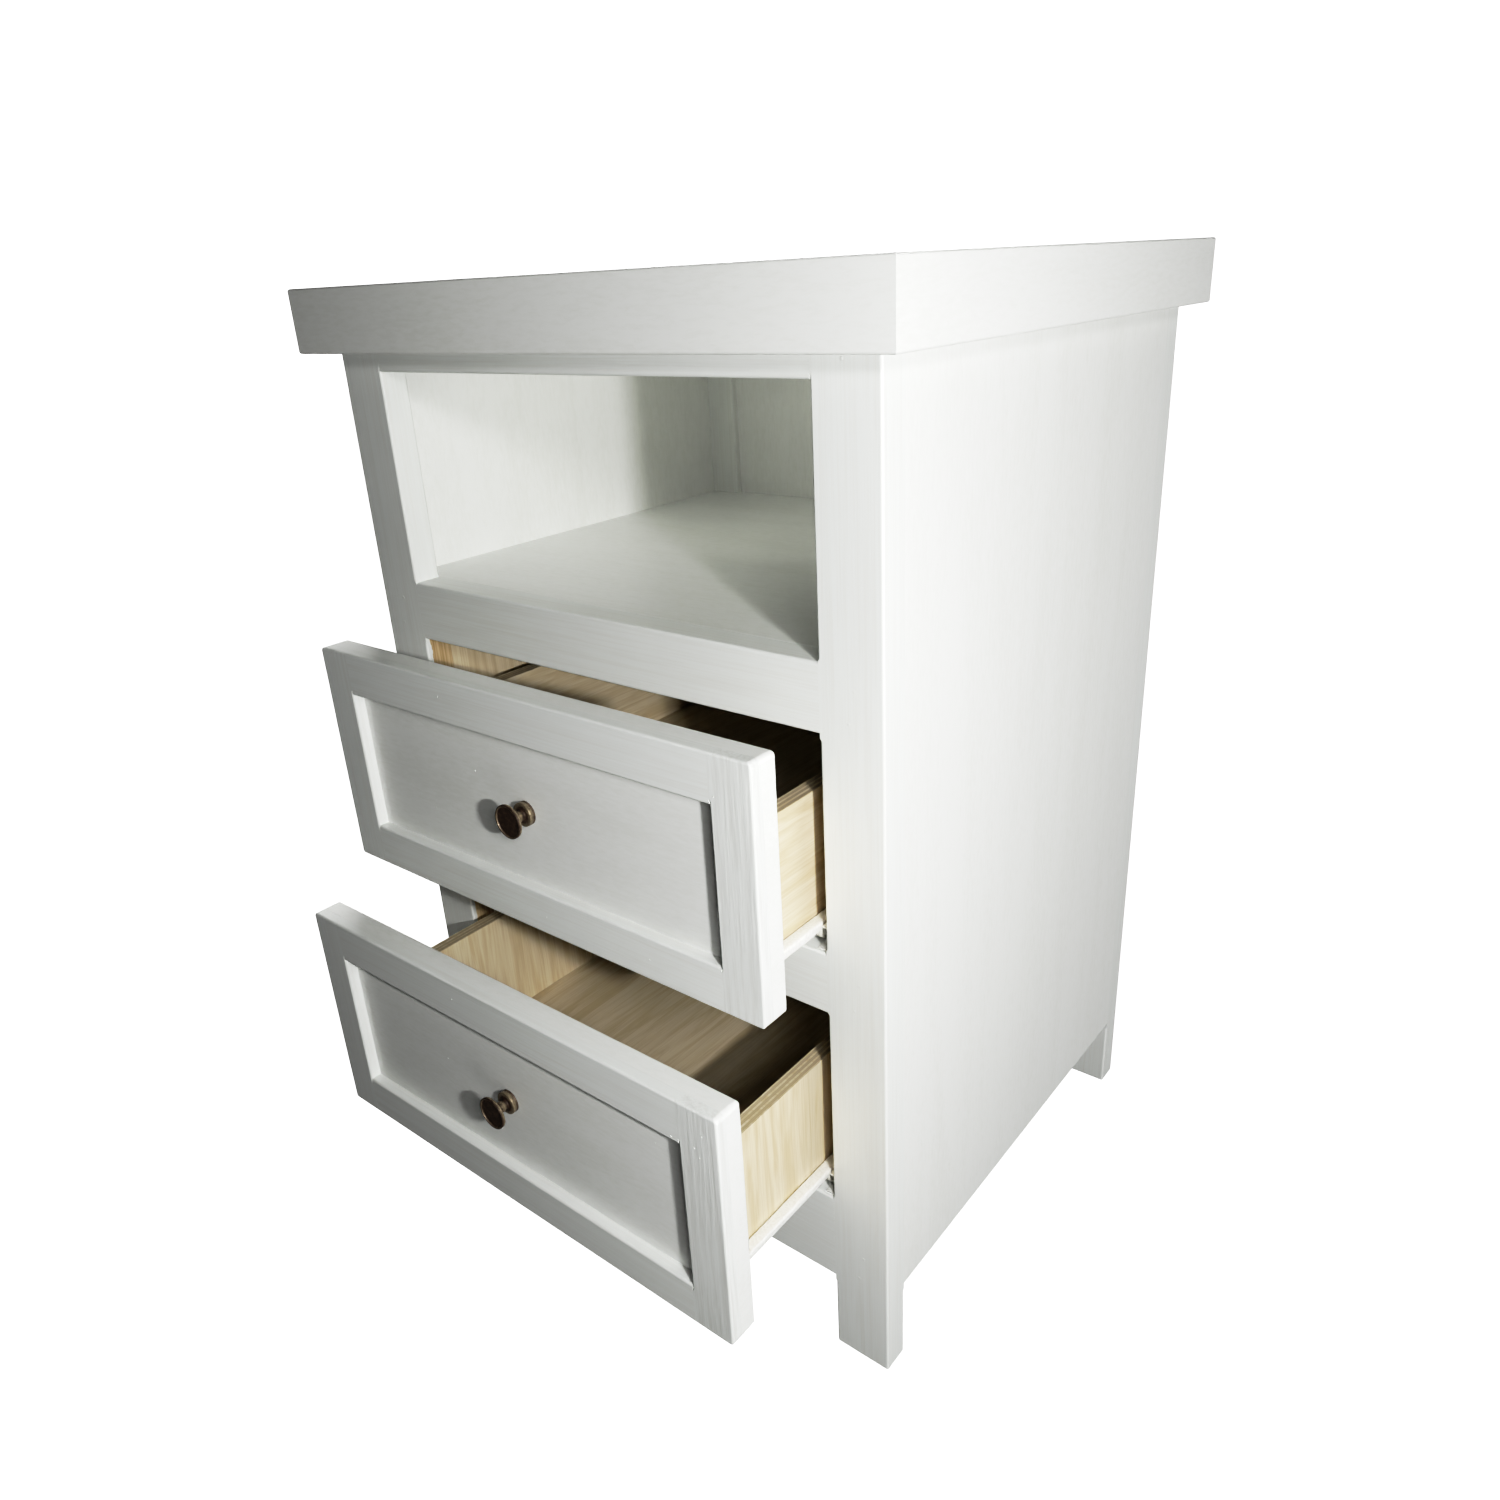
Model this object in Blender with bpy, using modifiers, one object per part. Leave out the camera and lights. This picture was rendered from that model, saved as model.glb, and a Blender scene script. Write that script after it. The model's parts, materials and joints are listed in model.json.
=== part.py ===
"""Nightstand with an open cubby over two drawers that run on roller slides.

Metres. X runs to the right, the drawers face -Y and Z is up. The origin is on the floor, under the middle of
the outline with both drawers standing part open.
"""

import math

import bmesh
import bpy

# Gap kept between pieces that touch
GAP = 0.0003

# Case: face frame in front, plywood sides, rear legs and back panel, top wrapped in a thick trim
CASE_WIDTH = 0.408
CASE_DEPTH = 0.363
TOTAL_HEIGHT = 0.6604
LEG_HEIGHT = 0.0586
STOCK = 0.019
STILE_WIDTH = 0.0388
TOP_RAIL_HEIGHT = 0.0375
MIDDLE_RAIL_HEIGHT = 0.0389
DIVIDER_RAIL_HEIGHT = 0.0400
BOTTOM_RAIL_HEIGHT = 0.0646
UPPER_OPENING_HEIGHT = 0.1337
LOWER_OPENING_HEIGHT = 0.1388
CASE_PLY = 0.012
BACK_INSET = 0.0017
TOP_THICKNESS = 0.0127
TRIM_HEIGHT = 0.0384
TRIM_THICKNESS = 0.0178
REAR_OVERHANG = 0.0046

# Drawer fronts: a plywood panel with strips laid on it as a frame, lapping over the face frame
FRONT_PANEL = 0.0117
STRIP_THICKNESS = 0.0070
SIDE_STRIP_WIDTH = 0.0272
CROSS_STRIP_WIDTH = 0.0280
SIDE_LAP = 0.0119
TOP_LAP = 0.0119
BOTTOM_LAP = 0.0042
UPPER_FRONT_SHIFT = -0.0015
LOWER_FRONT_SHIFT = 0.0020
UPPER_PULL = 0.0506
LOWER_PULL = 0.0969

# Drawer boxes
BOX_PLY = 0.0105
BOX_BOTTOM = 0.0055
BOX_SIDE_HEIGHT = 0.0826
BOX_REAR_ROOM = 0.0443
SLIDE_ROOM = 0.0127

# Roller slides. Heights are counted from the top of the rail below, widths outwards from the box's side
STEEL = 0.001
RUNNER_FLANGE_FOOT = 0.0047
RUNNER_FLANGE_REACH = 0.012
RUNNER_LIP = 0.0045
CHANNEL_FLOOR_REACH = 0.0069
CHANNEL_ROOF_REACH = 0.0040
CHANNEL_HEADROOM = 0.0006
CHANNEL_SETBACK = 0.002
RUNNER_SETBACK = 0.001
SLIDE_END_ROOM = 0.005
ROLLER_RADIUS = 0.0065
ROLLER_END_DISTANCE = 0.0085
FRONT_ROLLER_LIFT = 0.0024
PIN_RADIUS = 0.002
SIDE_CLEARANCE = 0.0004
ROLLER_RIM = 0.0005

# Knob and its screw
KNOB_BASE_RADIUS = 0.0075
KNOB_BASE_HEIGHT = 0.0038
KNOB_STEM_RADIUS = 0.0032
KNOB_HEAD_RADIUS = 0.0106
KNOB_HEAD_THICKNESS = 0.0021
KNOB_LENGTH = 0.0150
KNOB_DISH = 0.0007
KNOB_RIM = 0.0012
KNOB_EASE = 0.0004
KNOB_FLARE = 0.0020
KNOB_HOLE_DEPTH = 0.0085
SCREW_RADIUS = 0.0019
SCREW_HEAD_RADIUS = 0.0040
SCREW_CROWN_RADIUS = 0.0030
SCREW_HEAD_HEIGHT = 0.0022
SCREW_END_ROOM = 0.001

# Eased edges, and how finely round shapes are divided
PAINT_EASE = 0.0008
PLY_EASE = 0.0003
EASED_ANGLE = math.radians(40)
KNOB_STEPS = 32
SMALL_STEPS = 24
MERGE_DISTANCE = 1e-6

# Colour, roughness and metallic value of each finish
FINISHES = {
    "paint": ((0.80, 0.81, 0.80), 0.42, 0.0),
    "plywood": ((0.62, 0.47, 0.30), 0.62, 0.0),
    "enamel": ((0.82, 0.82, 0.80), 0.35, 0.0),
    "nylon": ((0.78, 0.78, 0.74), 0.45, 0.0),
    "bronze": ((0.10, 0.065, 0.035), 0.38, 1.0),
    "zinc": ((0.55, 0.55, 0.56), 0.35, 1.0),
}

# Places that follow from the sizes above
HALF_CASE = CASE_WIDTH / 2
HALF_OPENING = HALF_CASE - STILE_WIDTH
HALF_BOX = HALF_OPENING - SLIDE_ROOM
FRONT_THICKNESS = FRONT_PANEL + GAP + STRIP_THICKNESS
KNOB_REACH = FRONT_PANEL + GAP + KNOB_LENGTH
DRAWER_REACH = max(UPPER_PULL, LOWER_PULL) + max(KNOB_REACH, FRONT_THICKNESS)
FRONT_REACH = GAP + max(DRAWER_REACH, TRIM_THICKNESS)
REAR_REACH = CASE_DEPTH + REAR_OVERHANG
CASE_FRONT = (FRONT_REACH - REAR_REACH) / 2
CASE_BACK = CASE_FRONT + CASE_DEPTH
BEHIND_FRAME = CASE_FRONT + STOCK + GAP
REAR_LEG_FRONT = CASE_BACK - STOCK
BACK_PANEL_FRONT = CASE_BACK - BACK_INSET - CASE_PLY
TOP_REAR = CASE_BACK + REAR_OVERHANG
BODY_TOP = TOTAL_HEIGHT - TOP_THICKNESS - GAP
BOTTOM_RAIL_TOP = LEG_HEIGHT + BOTTOM_RAIL_HEIGHT
DIVIDER_FOOT = BOTTOM_RAIL_TOP + LOWER_OPENING_HEIGHT
DIVIDER_TOP = DIVIDER_FOOT + DIVIDER_RAIL_HEIGHT
MIDDLE_RAIL_FOOT = DIVIDER_TOP + UPPER_OPENING_HEIGHT
MIDDLE_RAIL_TOP = MIDDLE_RAIL_FOOT + MIDDLE_RAIL_HEIGHT
TOP_RAIL_FOOT = BODY_TOP - TOP_RAIL_HEIGHT
BOX_LENGTH = CASE_DEPTH - BACK_INSET - CASE_PLY - BOX_REAR_ROOM
SLIDE_LENGTH = BOX_LENGTH - SLIDE_END_ROOM
BOX_FOOT = RUNNER_FLANGE_FOOT + STEEL + GAP

# The rollers set the height of both slide members, and the room beside the box sets their widths
REAR_PIN_HEIGHT = GAP + STEEL + GAP + ROLLER_RADIUS
FRONT_PIN_HEIGHT = GAP + STEEL + FRONT_ROLLER_LIFT + ROLLER_RADIUS
CHANNEL_TOP = REAR_PIN_HEIGHT + ROLLER_RADIUS + CHANNEL_HEADROOM + STEEL
RUNNER_TOP = FRONT_PIN_HEIGHT + ROLLER_RADIUS + GAP + STEEL
CHANNEL_WEB = SLIDE_ROOM - GAP
RUNNER_WIDTH = CHANNEL_WEB - CHANNEL_ROOF_REACH - SIDE_CLEARANCE
FRONT_ROLLER_START = GAP + STEEL + SIDE_CLEARANCE
FRONT_ROLLER_WIDTH = RUNNER_WIDTH - STEEL - GAP - FRONT_ROLLER_START
REAR_ROLLER_START = RUNNER_WIDTH + SIDE_CLEARANCE
REAR_ROLLER_WIDTH = CHANNEL_WEB - STEEL - SIDE_CLEARANCE - REAR_ROLLER_START


for leftover in list(bpy.data.objects):
    bpy.data.objects.remove(leftover, do_unlink=True)


def new_collection(name):
    collection = bpy.data.collections.new(name)
    bpy.context.scene.collection.children.link(collection)
    return collection


parts = new_collection("nightstand")
cutters = new_collection("cutters")
cutters.hide_render = True


def finish(obj, kind):
    """Gives an object its own material in one of the finishes."""
    colour, roughness, metallic = FINISHES[kind]
    material = bpy.data.materials.new(f"{obj.name}_{kind}")
    material.use_nodes = True
    shader = material.node_tree.nodes["Principled BSDF"]
    shader.inputs["Base Color"].default_value = (*colour, 1.0)
    shader.inputs["Roughness"].default_value = roughness
    shader.inputs["Metallic"].default_value = metallic
    obj.data.materials.clear()
    obj.data.materials.append(material)


def add_object(name, mesh, collection, parent=None):
    obj = bpy.data.objects.new(name, mesh)
    collection.objects.link(obj)
    obj.parent = parent
    return obj


def ease_edges(obj, width):
    bevel = obj.modifiers.new("eased_edges", "BEVEL")
    bevel.width = width
    bevel.segments = 1
    bevel.limit_method = "ANGLE"
    bevel.angle_limit = EASED_ANGLE


def board(name, low, high, kind="paint", ease=PAINT_EASE, parent=None):
    """A box between two corners, given in its parent's space, with eased edges."""
    size = [b - a for a, b in zip(low, high)]
    mesh = bpy.data.meshes.new(name)
    shape = bmesh.new()
    bmesh.ops.create_cube(shape, size=1.0)
    bmesh.ops.scale(shape, vec=size, verts=shape.verts)
    shape.to_mesh(mesh)
    shape.free()
    obj = add_object(name, mesh, parts, parent)
    obj.location = [(a + b) / 2 for a, b in zip(low, high)]
    ease_edges(obj, ease)
    finish(obj, kind)
    return obj


def extruded_mesh(name, outline, thickness):
    """A closed mesh from a flat outline, thickened evenly about its own plane."""
    curve = bpy.data.curves.new(name, "CURVE")
    curve.dimensions = "2D"
    curve.fill_mode = "BOTH"
    curve.extrude = thickness / 2
    spline = curve.splines.new("POLY")
    spline.points.add(len(outline) - 1)
    for point, (x, y) in zip(spline.points, outline):
        point.co = (x, y, 0.0, 1.0)
    spline.use_cyclic_u = True
    guide = add_object(name + "_outline", curve, cutters)
    bpy.context.view_layer.update()
    evaluated = guide.evaluated_get(bpy.context.evaluated_depsgraph_get())
    mesh = bpy.data.meshes.new_from_object(evaluated)
    bpy.data.objects.remove(guide, do_unlink=True)
    shape = bmesh.new()
    shape.from_mesh(mesh)
    bmesh.ops.remove_doubles(shape, verts=shape.verts, dist=MERGE_DISTANCE)
    bmesh.ops.recalc_face_normals(shape, faces=shape.faces)
    shape.to_mesh(mesh)
    shape.free()
    mesh.name = name
    return mesh


def flat_piece(name, outline, low, high, kind, ease):
    """A piece cut to an outline in X and Y and standing between two heights."""
    obj = add_object(name, extruded_mesh(name, outline, high - low), parts)
    obj.location.z = (low + high) / 2
    ease_edges(obj, ease)
    finish(obj, kind)


def rod(name, radius, length, parent):
    """A cylinder along Z about its own middle, which only cuts or joins another piece."""
    mesh = bpy.data.meshes.new(name)
    shape = bmesh.new()
    bmesh.ops.create_cone(
        shape, cap_ends=True, segments=SMALL_STEPS, radius1=radius, radius2=radius, depth=length
    )
    shape.to_mesh(mesh)
    shape.free()
    return add_object(name, mesh, cutters, parent)


def combine(obj, operand, operation):
    """Cuts an operand away from an object, or joins it on, and leaves the operand as a hidden guide."""
    operand.hide_render = True
    operand.display_type = "WIRE"
    boolean = obj.modifiers.new(operation.lower(), "BOOLEAN")
    boolean.operation = operation
    boolean.solver = "EXACT"
    boolean.object = operand


def turned(name, profile, kind, parent, steps):
    """A turned shape from (radius, height) points that run down the outer side. One off the axis is a ring."""
    mesh = bpy.data.meshes.new(name)
    edges = [(i, i + 1) for i in range(len(profile) - 1)]
    if profile[0][0] > 0:
        edges.append((len(profile) - 1, 0))
    mesh.from_pydata([(radius, 0.0, height) for radius, height in profile], edges, [])
    obj = add_object(name, mesh, parts, parent)
    screw = obj.modifiers.new("turn", "SCREW")
    screw.steps = steps
    screw.render_steps = steps
    screw.use_merge_vertices = True
    screw.merge_threshold = MERGE_DISTANCE
    screw.use_smooth_shade = True
    finish(obj, kind)
    return obj


def case_frame():
    """Face frame: two stiles from the floor to the top, with four rails between them."""
    for side, name in ((-1, "left"), (1, "right")):
        inner, outer = sorted((side * HALF_OPENING, side * HALF_CASE))
        board(f"stile_{name}", (inner, CASE_FRONT, 0), (outer, CASE_FRONT + STOCK, BODY_TOP))
    half = HALF_OPENING - GAP
    rails = {
        "rail_top": (TOP_RAIL_FOOT, BODY_TOP),
        "rail_middle": (MIDDLE_RAIL_FOOT, MIDDLE_RAIL_TOP),
        "rail_divider": (DIVIDER_FOOT, DIVIDER_TOP),
        "rail_bottom": (LEG_HEIGHT, BOTTOM_RAIL_TOP),
    }
    for name, (foot, top) in rails.items():
        board(name, (-half, CASE_FRONT, foot), (half, CASE_FRONT + STOCK, top))


def case_shell():
    """Sides, rear legs, back, shelf, and the inner panels that carry the slides."""
    shelf_foot = MIDDLE_RAIL_TOP - CASE_PLY
    for side, name in ((-1, "left"), (1, "right")):
        inner, outer = sorted((side * (HALF_CASE - CASE_PLY), side * HALF_CASE))
        low = (inner, BEHIND_FRAME, LEG_HEIGHT)
        board(f"side_{name}", low, (outer, REAR_LEG_FRONT - GAP, BODY_TOP))
        inner, outer = sorted((side * HALF_OPENING, side * HALF_CASE))
        board(f"rear_leg_{name}", (inner, REAR_LEG_FRONT, 0), (outer, CASE_BACK, BODY_TOP))
        inner, outer = sorted((side * HALF_OPENING, side * (HALF_OPENING + CASE_PLY)))
        low = (inner, BEHIND_FRAME, LEG_HEIGHT)
        high = (outer, REAR_LEG_FRONT - GAP, shelf_foot - GAP)
        board(f"slide_panel_{name}", low, high, "plywood", PLY_EASE)
    half = HALF_OPENING - GAP
    low = (-half, BACK_PANEL_FRONT, LEG_HEIGHT)
    board("back_panel", low, (half, BACK_PANEL_FRONT + CASE_PLY, BODY_TOP))
    wide = HALF_CASE - CASE_PLY - GAP
    deep = BACK_PANEL_FRONT - GAP
    notch = REAR_LEG_FRONT - GAP
    outline = [
        (-wide, BEHIND_FRAME),
        (wide, BEHIND_FRAME),
        (wide, notch),
        (half, notch),
        (half, deep),
        (-half, deep),
        (-half, notch),
        (-wide, notch),
    ]
    flat_piece("cubby_shelf", outline, shelf_foot, MIDDLE_RAIL_TOP, "paint", PLY_EASE)


def case_top():
    """Top panel with trim on three sides, mitred at the front corners."""
    low = (-HALF_CASE, CASE_FRONT, BODY_TOP + GAP)
    board("top_panel", low, (HALF_CASE, TOP_REAR, TOTAL_HEIGHT))
    foot = TOTAL_HEIGHT - TRIM_HEIGHT
    shift = GAP / math.sqrt(2)
    x_in = HALF_CASE + GAP
    x_out = x_in + TRIM_THICKNESS
    y_in = CASE_FRONT - GAP
    y_out = y_in - TRIM_THICKNESS
    front = [
        (-x_out + shift, y_out),
        (x_out - shift, y_out),
        (x_in - shift, y_in),
        (-x_in + shift, y_in),
    ]
    flat_piece("trim_front", front, foot, TOTAL_HEIGHT, "paint", PAINT_EASE)
    for side, name in ((-1, "left"), (1, "right")):
        flank = [
            (side * x_out, y_out + shift),
            (side * x_out, TOP_REAR),
            (side * x_in, TOP_REAR),
            (side * x_in, y_in + shift),
        ]
        flat_piece(f"trim_{name}", flank, foot, TOTAL_HEIGHT, "paint", PAINT_EASE)


def slide_profile(name, outline, start, rail_top, side, parent):
    """A folded steel slide member: its section, in widths and heights, drawn out along Y from its front end."""
    points = [(side * (HALF_BOX + width), height) for width, height in outline]
    obj = add_object(name, extruded_mesh(name, points, SLIDE_LENGTH), parts, parent)
    obj.rotation_euler.x = math.radians(90)
    obj.location = (0.0, start + SLIDE_LENGTH / 2, rail_top)
    finish(obj, "enamel")
    return obj


def add_pin(member, first, last, y, height, side):
    """Joins a round pin across the slide to a member, between two widths from the box's side."""
    pin = rod(f"{member.name}_pin", PIN_RADIUS, last - first, member.parent)
    pin.rotation_euler.y = math.radians(90)
    pin.location = (side * (HALF_BOX + (first + last) / 2), y, height)
    combine(member, pin, "UNION")


def roller(name, first, width, y, height, side, parent=None):
    """A roller on its pin, with its origin on its axis."""
    bore = PIN_RADIUS + GAP
    half = width / 2
    profile = [
        (bore, half),
        (ROLLER_RADIUS - ROLLER_RIM, half),
        (ROLLER_RADIUS, half - ROLLER_RIM),
        (ROLLER_RADIUS, ROLLER_RIM - half),
        (ROLLER_RADIUS - ROLLER_RIM, -half),
        (bore, -half),
    ]
    obj = turned(name, profile, "nylon", parent, SMALL_STEPS)
    obj.rotation_euler.y = math.radians(90)
    obj.location = (side * (HALF_BOX + first + half), y, height)


def runner_outline():
    """The drawer's slide member: a flange under the box, a web up its side, and a track with a turned-down lip."""
    web = GAP + STEEL
    return [
        (-RUNNER_FLANGE_REACH, RUNNER_FLANGE_FOOT),
        (web, RUNNER_FLANGE_FOOT),
        (web, RUNNER_TOP - STEEL),
        (RUNNER_WIDTH - STEEL, RUNNER_TOP - STEEL),
        (RUNNER_WIDTH - STEEL, RUNNER_TOP - RUNNER_LIP),
        (RUNNER_WIDTH, RUNNER_TOP - RUNNER_LIP),
        (RUNNER_WIDTH, RUNNER_TOP),
        (GAP, RUNNER_TOP),
        (GAP, RUNNER_FLANGE_FOOT + STEEL),
        (-RUNNER_FLANGE_REACH, RUNNER_FLANGE_FOOT + STEEL),
    ]


def channel_outline():
    """The case's slide member: a channel whose floor carries the drawer's roller."""
    return [
        (CHANNEL_WEB - CHANNEL_FLOOR_REACH, GAP),
        (CHANNEL_WEB, GAP),
        (CHANNEL_WEB, CHANNEL_TOP),
        (CHANNEL_WEB - CHANNEL_ROOF_REACH, CHANNEL_TOP),
        (CHANNEL_WEB - CHANNEL_ROOF_REACH, CHANNEL_TOP - STEEL),
        (CHANNEL_WEB - STEEL, CHANNEL_TOP - STEEL),
        (CHANNEL_WEB - STEEL, GAP + STEEL),
        (CHANNEL_WEB - CHANNEL_FLOOR_REACH, GAP + STEEL),
    ]


def case_slides(drawer, rail_top):
    """The case's two channels for one drawer, each with its roller at the front end."""
    for side, name in ((-1, "left"), (1, "right")):
        start = CASE_FRONT + CHANNEL_SETBACK
        label = f"{drawer}_channel_{name}"
        channel = slide_profile(label, channel_outline(), start, rail_top, side, None)
        first, width = FRONT_ROLLER_START, FRONT_ROLLER_WIDTH
        y = start + ROLLER_END_DISTANCE
        height = rail_top + FRONT_PIN_HEIGHT
        add_pin(channel, first, CHANNEL_WEB - STEEL / 2, y, height, side)
        roller(f"{drawer}_front_roller_{name}", first, width, y, height, side)


def drawer_slides(drawer, rail_top, parent):
    """The drawer's two runners, each with its roller at the rear end. Y counts from the drawer front's back."""
    for side, name in ((-1, "left"), (1, "right")):
        label = f"{drawer}_runner_{name}"
        runner = slide_profile(label, runner_outline(), RUNNER_SETBACK, rail_top, side, parent)
        first, width = REAR_ROLLER_START, REAR_ROLLER_WIDTH
        y = RUNNER_SETBACK + SLIDE_LENGTH - ROLLER_END_DISTANCE
        height = rail_top + REAR_PIN_HEIGHT
        add_pin(runner, GAP + STEEL / 2, first + width, y, height, side)
        roller(f"{drawer}_rear_roller_{name}", first, width, y, height, side, parent)


def drawer_box(drawer, rail_top, knob_place, parent):
    """Plywood box on its bottom panel, with a screw hole through its front."""
    foot = rail_top + BOX_FOOT
    near = GAP
    far = near + BOX_LENGTH
    floor = foot + BOX_BOTTOM
    low = floor + GAP
    high = low + BOX_SIDE_HEIGHT
    look = ("plywood", PLY_EASE, parent)
    board(f"{drawer}_box_bottom", (-HALF_BOX, near, foot), (HALF_BOX, far, floor), *look)
    for side, name in ((-1, "left"), (1, "right")):
        inner, outer = sorted((side * (HALF_BOX - BOX_PLY), side * HALF_BOX))
        board(f"{drawer}_box_{name}", (inner, near, low), (outer, far, high), *look)
    half = HALF_BOX - BOX_PLY - GAP
    rear = (-half, far - BOX_PLY, low)
    board(f"{drawer}_box_back", rear, (half, far, high), *look)
    front = board(f"{drawer}_box_front", (-half, near, low), (half, near + BOX_PLY, high), *look)
    bore_hole(front, knob_place, parent)


def bore_hole(piece, knob_place, parent):
    """A clearance hole for the knob's screw."""
    length = 3 * (FRONT_PANEL + BOX_PLY)
    hole = rod(f"{piece.name}_hole", SCREW_RADIUS + GAP, length, parent)
    hole.rotation_euler.x = math.radians(90)
    hole.location = (knob_place[0], 0.0, knob_place[1])
    combine(piece, hole, "DIFFERENCE")


def drawer_front(drawer, foot, top, knob_place, parent):
    """Plywood panel with two full-height side strips and two cross strips between them."""
    half = HALF_OPENING + SIDE_LAP
    left, right = knob_place[0] - half, knob_place[0] + half
    low, high = (left, -FRONT_PANEL, foot), (right, 0.0, top)
    panel = board(f"{drawer}_front_panel", low, high, parent=parent)
    bore_hole(panel, knob_place, parent)
    back = -FRONT_PANEL - GAP
    face = back - STRIP_THICKNESS
    inner_left = left + SIDE_STRIP_WIDTH
    inner_right = right - SIDE_STRIP_WIDTH
    strips = {
        "strip_left": (left, inner_left, foot, top),
        "strip_right": (inner_right, right, foot, top),
        "strip_top": (inner_left + GAP, inner_right - GAP, top - CROSS_STRIP_WIDTH, top),
        "strip_bottom": (inner_left + GAP, inner_right - GAP, foot, foot + CROSS_STRIP_WIDTH),
    }
    for name, (x_low, x_high, z_low, z_high) in strips.items():
        board(f"{drawer}_{name}", (x_low, face, z_low), (x_high, back, z_high), parent=parent)


def knob(drawer, knob_place, parent):
    """Turned knob: a thick base, a slim stem and a dished head with a raised rim."""
    hole = SCREW_RADIUS + GAP
    neck = KNOB_LENGTH - KNOB_HEAD_THICKNESS
    dish = KNOB_LENGTH - KNOB_DISH
    inner_rim = KNOB_HEAD_RADIUS - KNOB_RIM
    profile = [
        (0.0, dish),
        (inner_rim - KNOB_DISH, dish),
        (inner_rim, KNOB_LENGTH),
        (KNOB_HEAD_RADIUS - KNOB_EASE, KNOB_LENGTH),
        (KNOB_HEAD_RADIUS, KNOB_LENGTH - KNOB_EASE),
        (KNOB_HEAD_RADIUS, neck + KNOB_EASE),
        (KNOB_HEAD_RADIUS - KNOB_EASE, neck),
        (KNOB_STEM_RADIUS + KNOB_FLARE, neck - KNOB_FLARE / 2),
        (KNOB_STEM_RADIUS, neck - KNOB_FLARE * 3 / 2),
        (KNOB_STEM_RADIUS, KNOB_BASE_HEIGHT + KNOB_FLARE / 2),
        (KNOB_STEM_RADIUS + KNOB_FLARE / 2, KNOB_BASE_HEIGHT),
        (KNOB_BASE_RADIUS - KNOB_EASE, KNOB_BASE_HEIGHT),
        (KNOB_BASE_RADIUS, KNOB_BASE_HEIGHT - KNOB_EASE),
        (KNOB_BASE_RADIUS, 0.0),
        (hole, 0.0),
        (hole, KNOB_HOLE_DEPTH),
        (0.0, KNOB_HOLE_DEPTH),
    ]
    obj = turned(f"{drawer}_knob", profile, "bronze", parent, KNOB_STEPS)
    obj.rotation_euler.x = math.radians(90)
    obj.location = (knob_place[0], -FRONT_PANEL - GAP, knob_place[1])


def knob_screw(drawer, knob_place, parent):
    """Machine screw from inside the box, through its front and the panel, into the knob."""
    length = GAP + BOX_PLY + GAP + FRONT_PANEL + GAP + KNOB_HOLE_DEPTH - SCREW_END_ROOM
    profile = [
        (0.0, length),
        (SCREW_RADIUS, length),
        (SCREW_RADIUS, 0.0),
        (SCREW_HEAD_RADIUS, 0.0),
        (SCREW_HEAD_RADIUS, -SCREW_HEAD_HEIGHT / 2),
        (SCREW_CROWN_RADIUS, -SCREW_HEAD_HEIGHT),
        (0.0, -SCREW_HEAD_HEIGHT),
    ]
    obj = turned(f"{drawer}_knob_screw", profile, "zinc", parent, SMALL_STEPS)
    obj.rotation_euler.x = math.radians(90)
    obj.location = (knob_place[0], GAP + BOX_PLY + GAP, knob_place[1])


def drawer_assembly(drawer, rail_top, opening_top, shift, pull):
    """One drawer on an empty that stands at the back of its front, and the case's half of its slides."""
    origin = add_object(f"{drawer}_origin", None, parts)
    origin.location.y = CASE_FRONT - GAP - pull
    foot = rail_top - BOTTOM_LAP
    top = opening_top + TOP_LAP
    knob_place = (shift, (foot + top) / 2)
    drawer_front(drawer, foot, top, knob_place, origin)
    drawer_box(drawer, rail_top, knob_place, origin)
    drawer_slides(drawer, rail_top, origin)
    case_slides(drawer, rail_top)
    knob(drawer, knob_place, origin)
    knob_screw(drawer, knob_place, origin)


case_frame()
case_shell()
case_top()
drawer_assembly("upper", DIVIDER_TOP, MIDDLE_RAIL_FOOT, UPPER_FRONT_SHIFT, UPPER_PULL)
drawer_assembly("lower", BOTTOM_RAIL_TOP, DIVIDER_FOOT, LOWER_FRONT_SHIFT, LOWER_PULL)
bpy.context.view_layer.update()
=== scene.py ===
import json
import math
import random

import bmesh
import bpy
from mathutils import Matrix, Vector, noise


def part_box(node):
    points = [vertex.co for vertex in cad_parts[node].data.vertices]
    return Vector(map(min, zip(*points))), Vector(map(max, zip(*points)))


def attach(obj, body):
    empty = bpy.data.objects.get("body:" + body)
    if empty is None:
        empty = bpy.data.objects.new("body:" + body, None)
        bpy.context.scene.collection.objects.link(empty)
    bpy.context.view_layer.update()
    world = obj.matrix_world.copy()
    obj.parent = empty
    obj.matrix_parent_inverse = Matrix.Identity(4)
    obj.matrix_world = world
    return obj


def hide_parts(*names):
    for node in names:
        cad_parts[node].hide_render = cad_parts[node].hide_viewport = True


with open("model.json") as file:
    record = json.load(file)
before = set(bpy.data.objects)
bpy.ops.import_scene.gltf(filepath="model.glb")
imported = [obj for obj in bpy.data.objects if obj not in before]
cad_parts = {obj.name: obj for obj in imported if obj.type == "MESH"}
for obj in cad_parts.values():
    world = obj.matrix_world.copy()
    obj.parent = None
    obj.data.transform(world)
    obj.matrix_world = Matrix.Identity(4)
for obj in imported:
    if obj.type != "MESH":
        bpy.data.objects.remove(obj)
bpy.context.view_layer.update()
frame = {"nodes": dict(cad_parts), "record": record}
mm = 0.001

boxes = {node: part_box(node) for node in frame["nodes"]}
bodyOf = {node: body for body, nodes in frame["record"]["behaviour"]["bodies"].items() for node in nodes}
slotOf = {part["node"]: part["material_slot"] for part in frame["record"]["subparts"]}
sides = {"left": -1, "right": 1}
drawers = ("upper", "lower")


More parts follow.
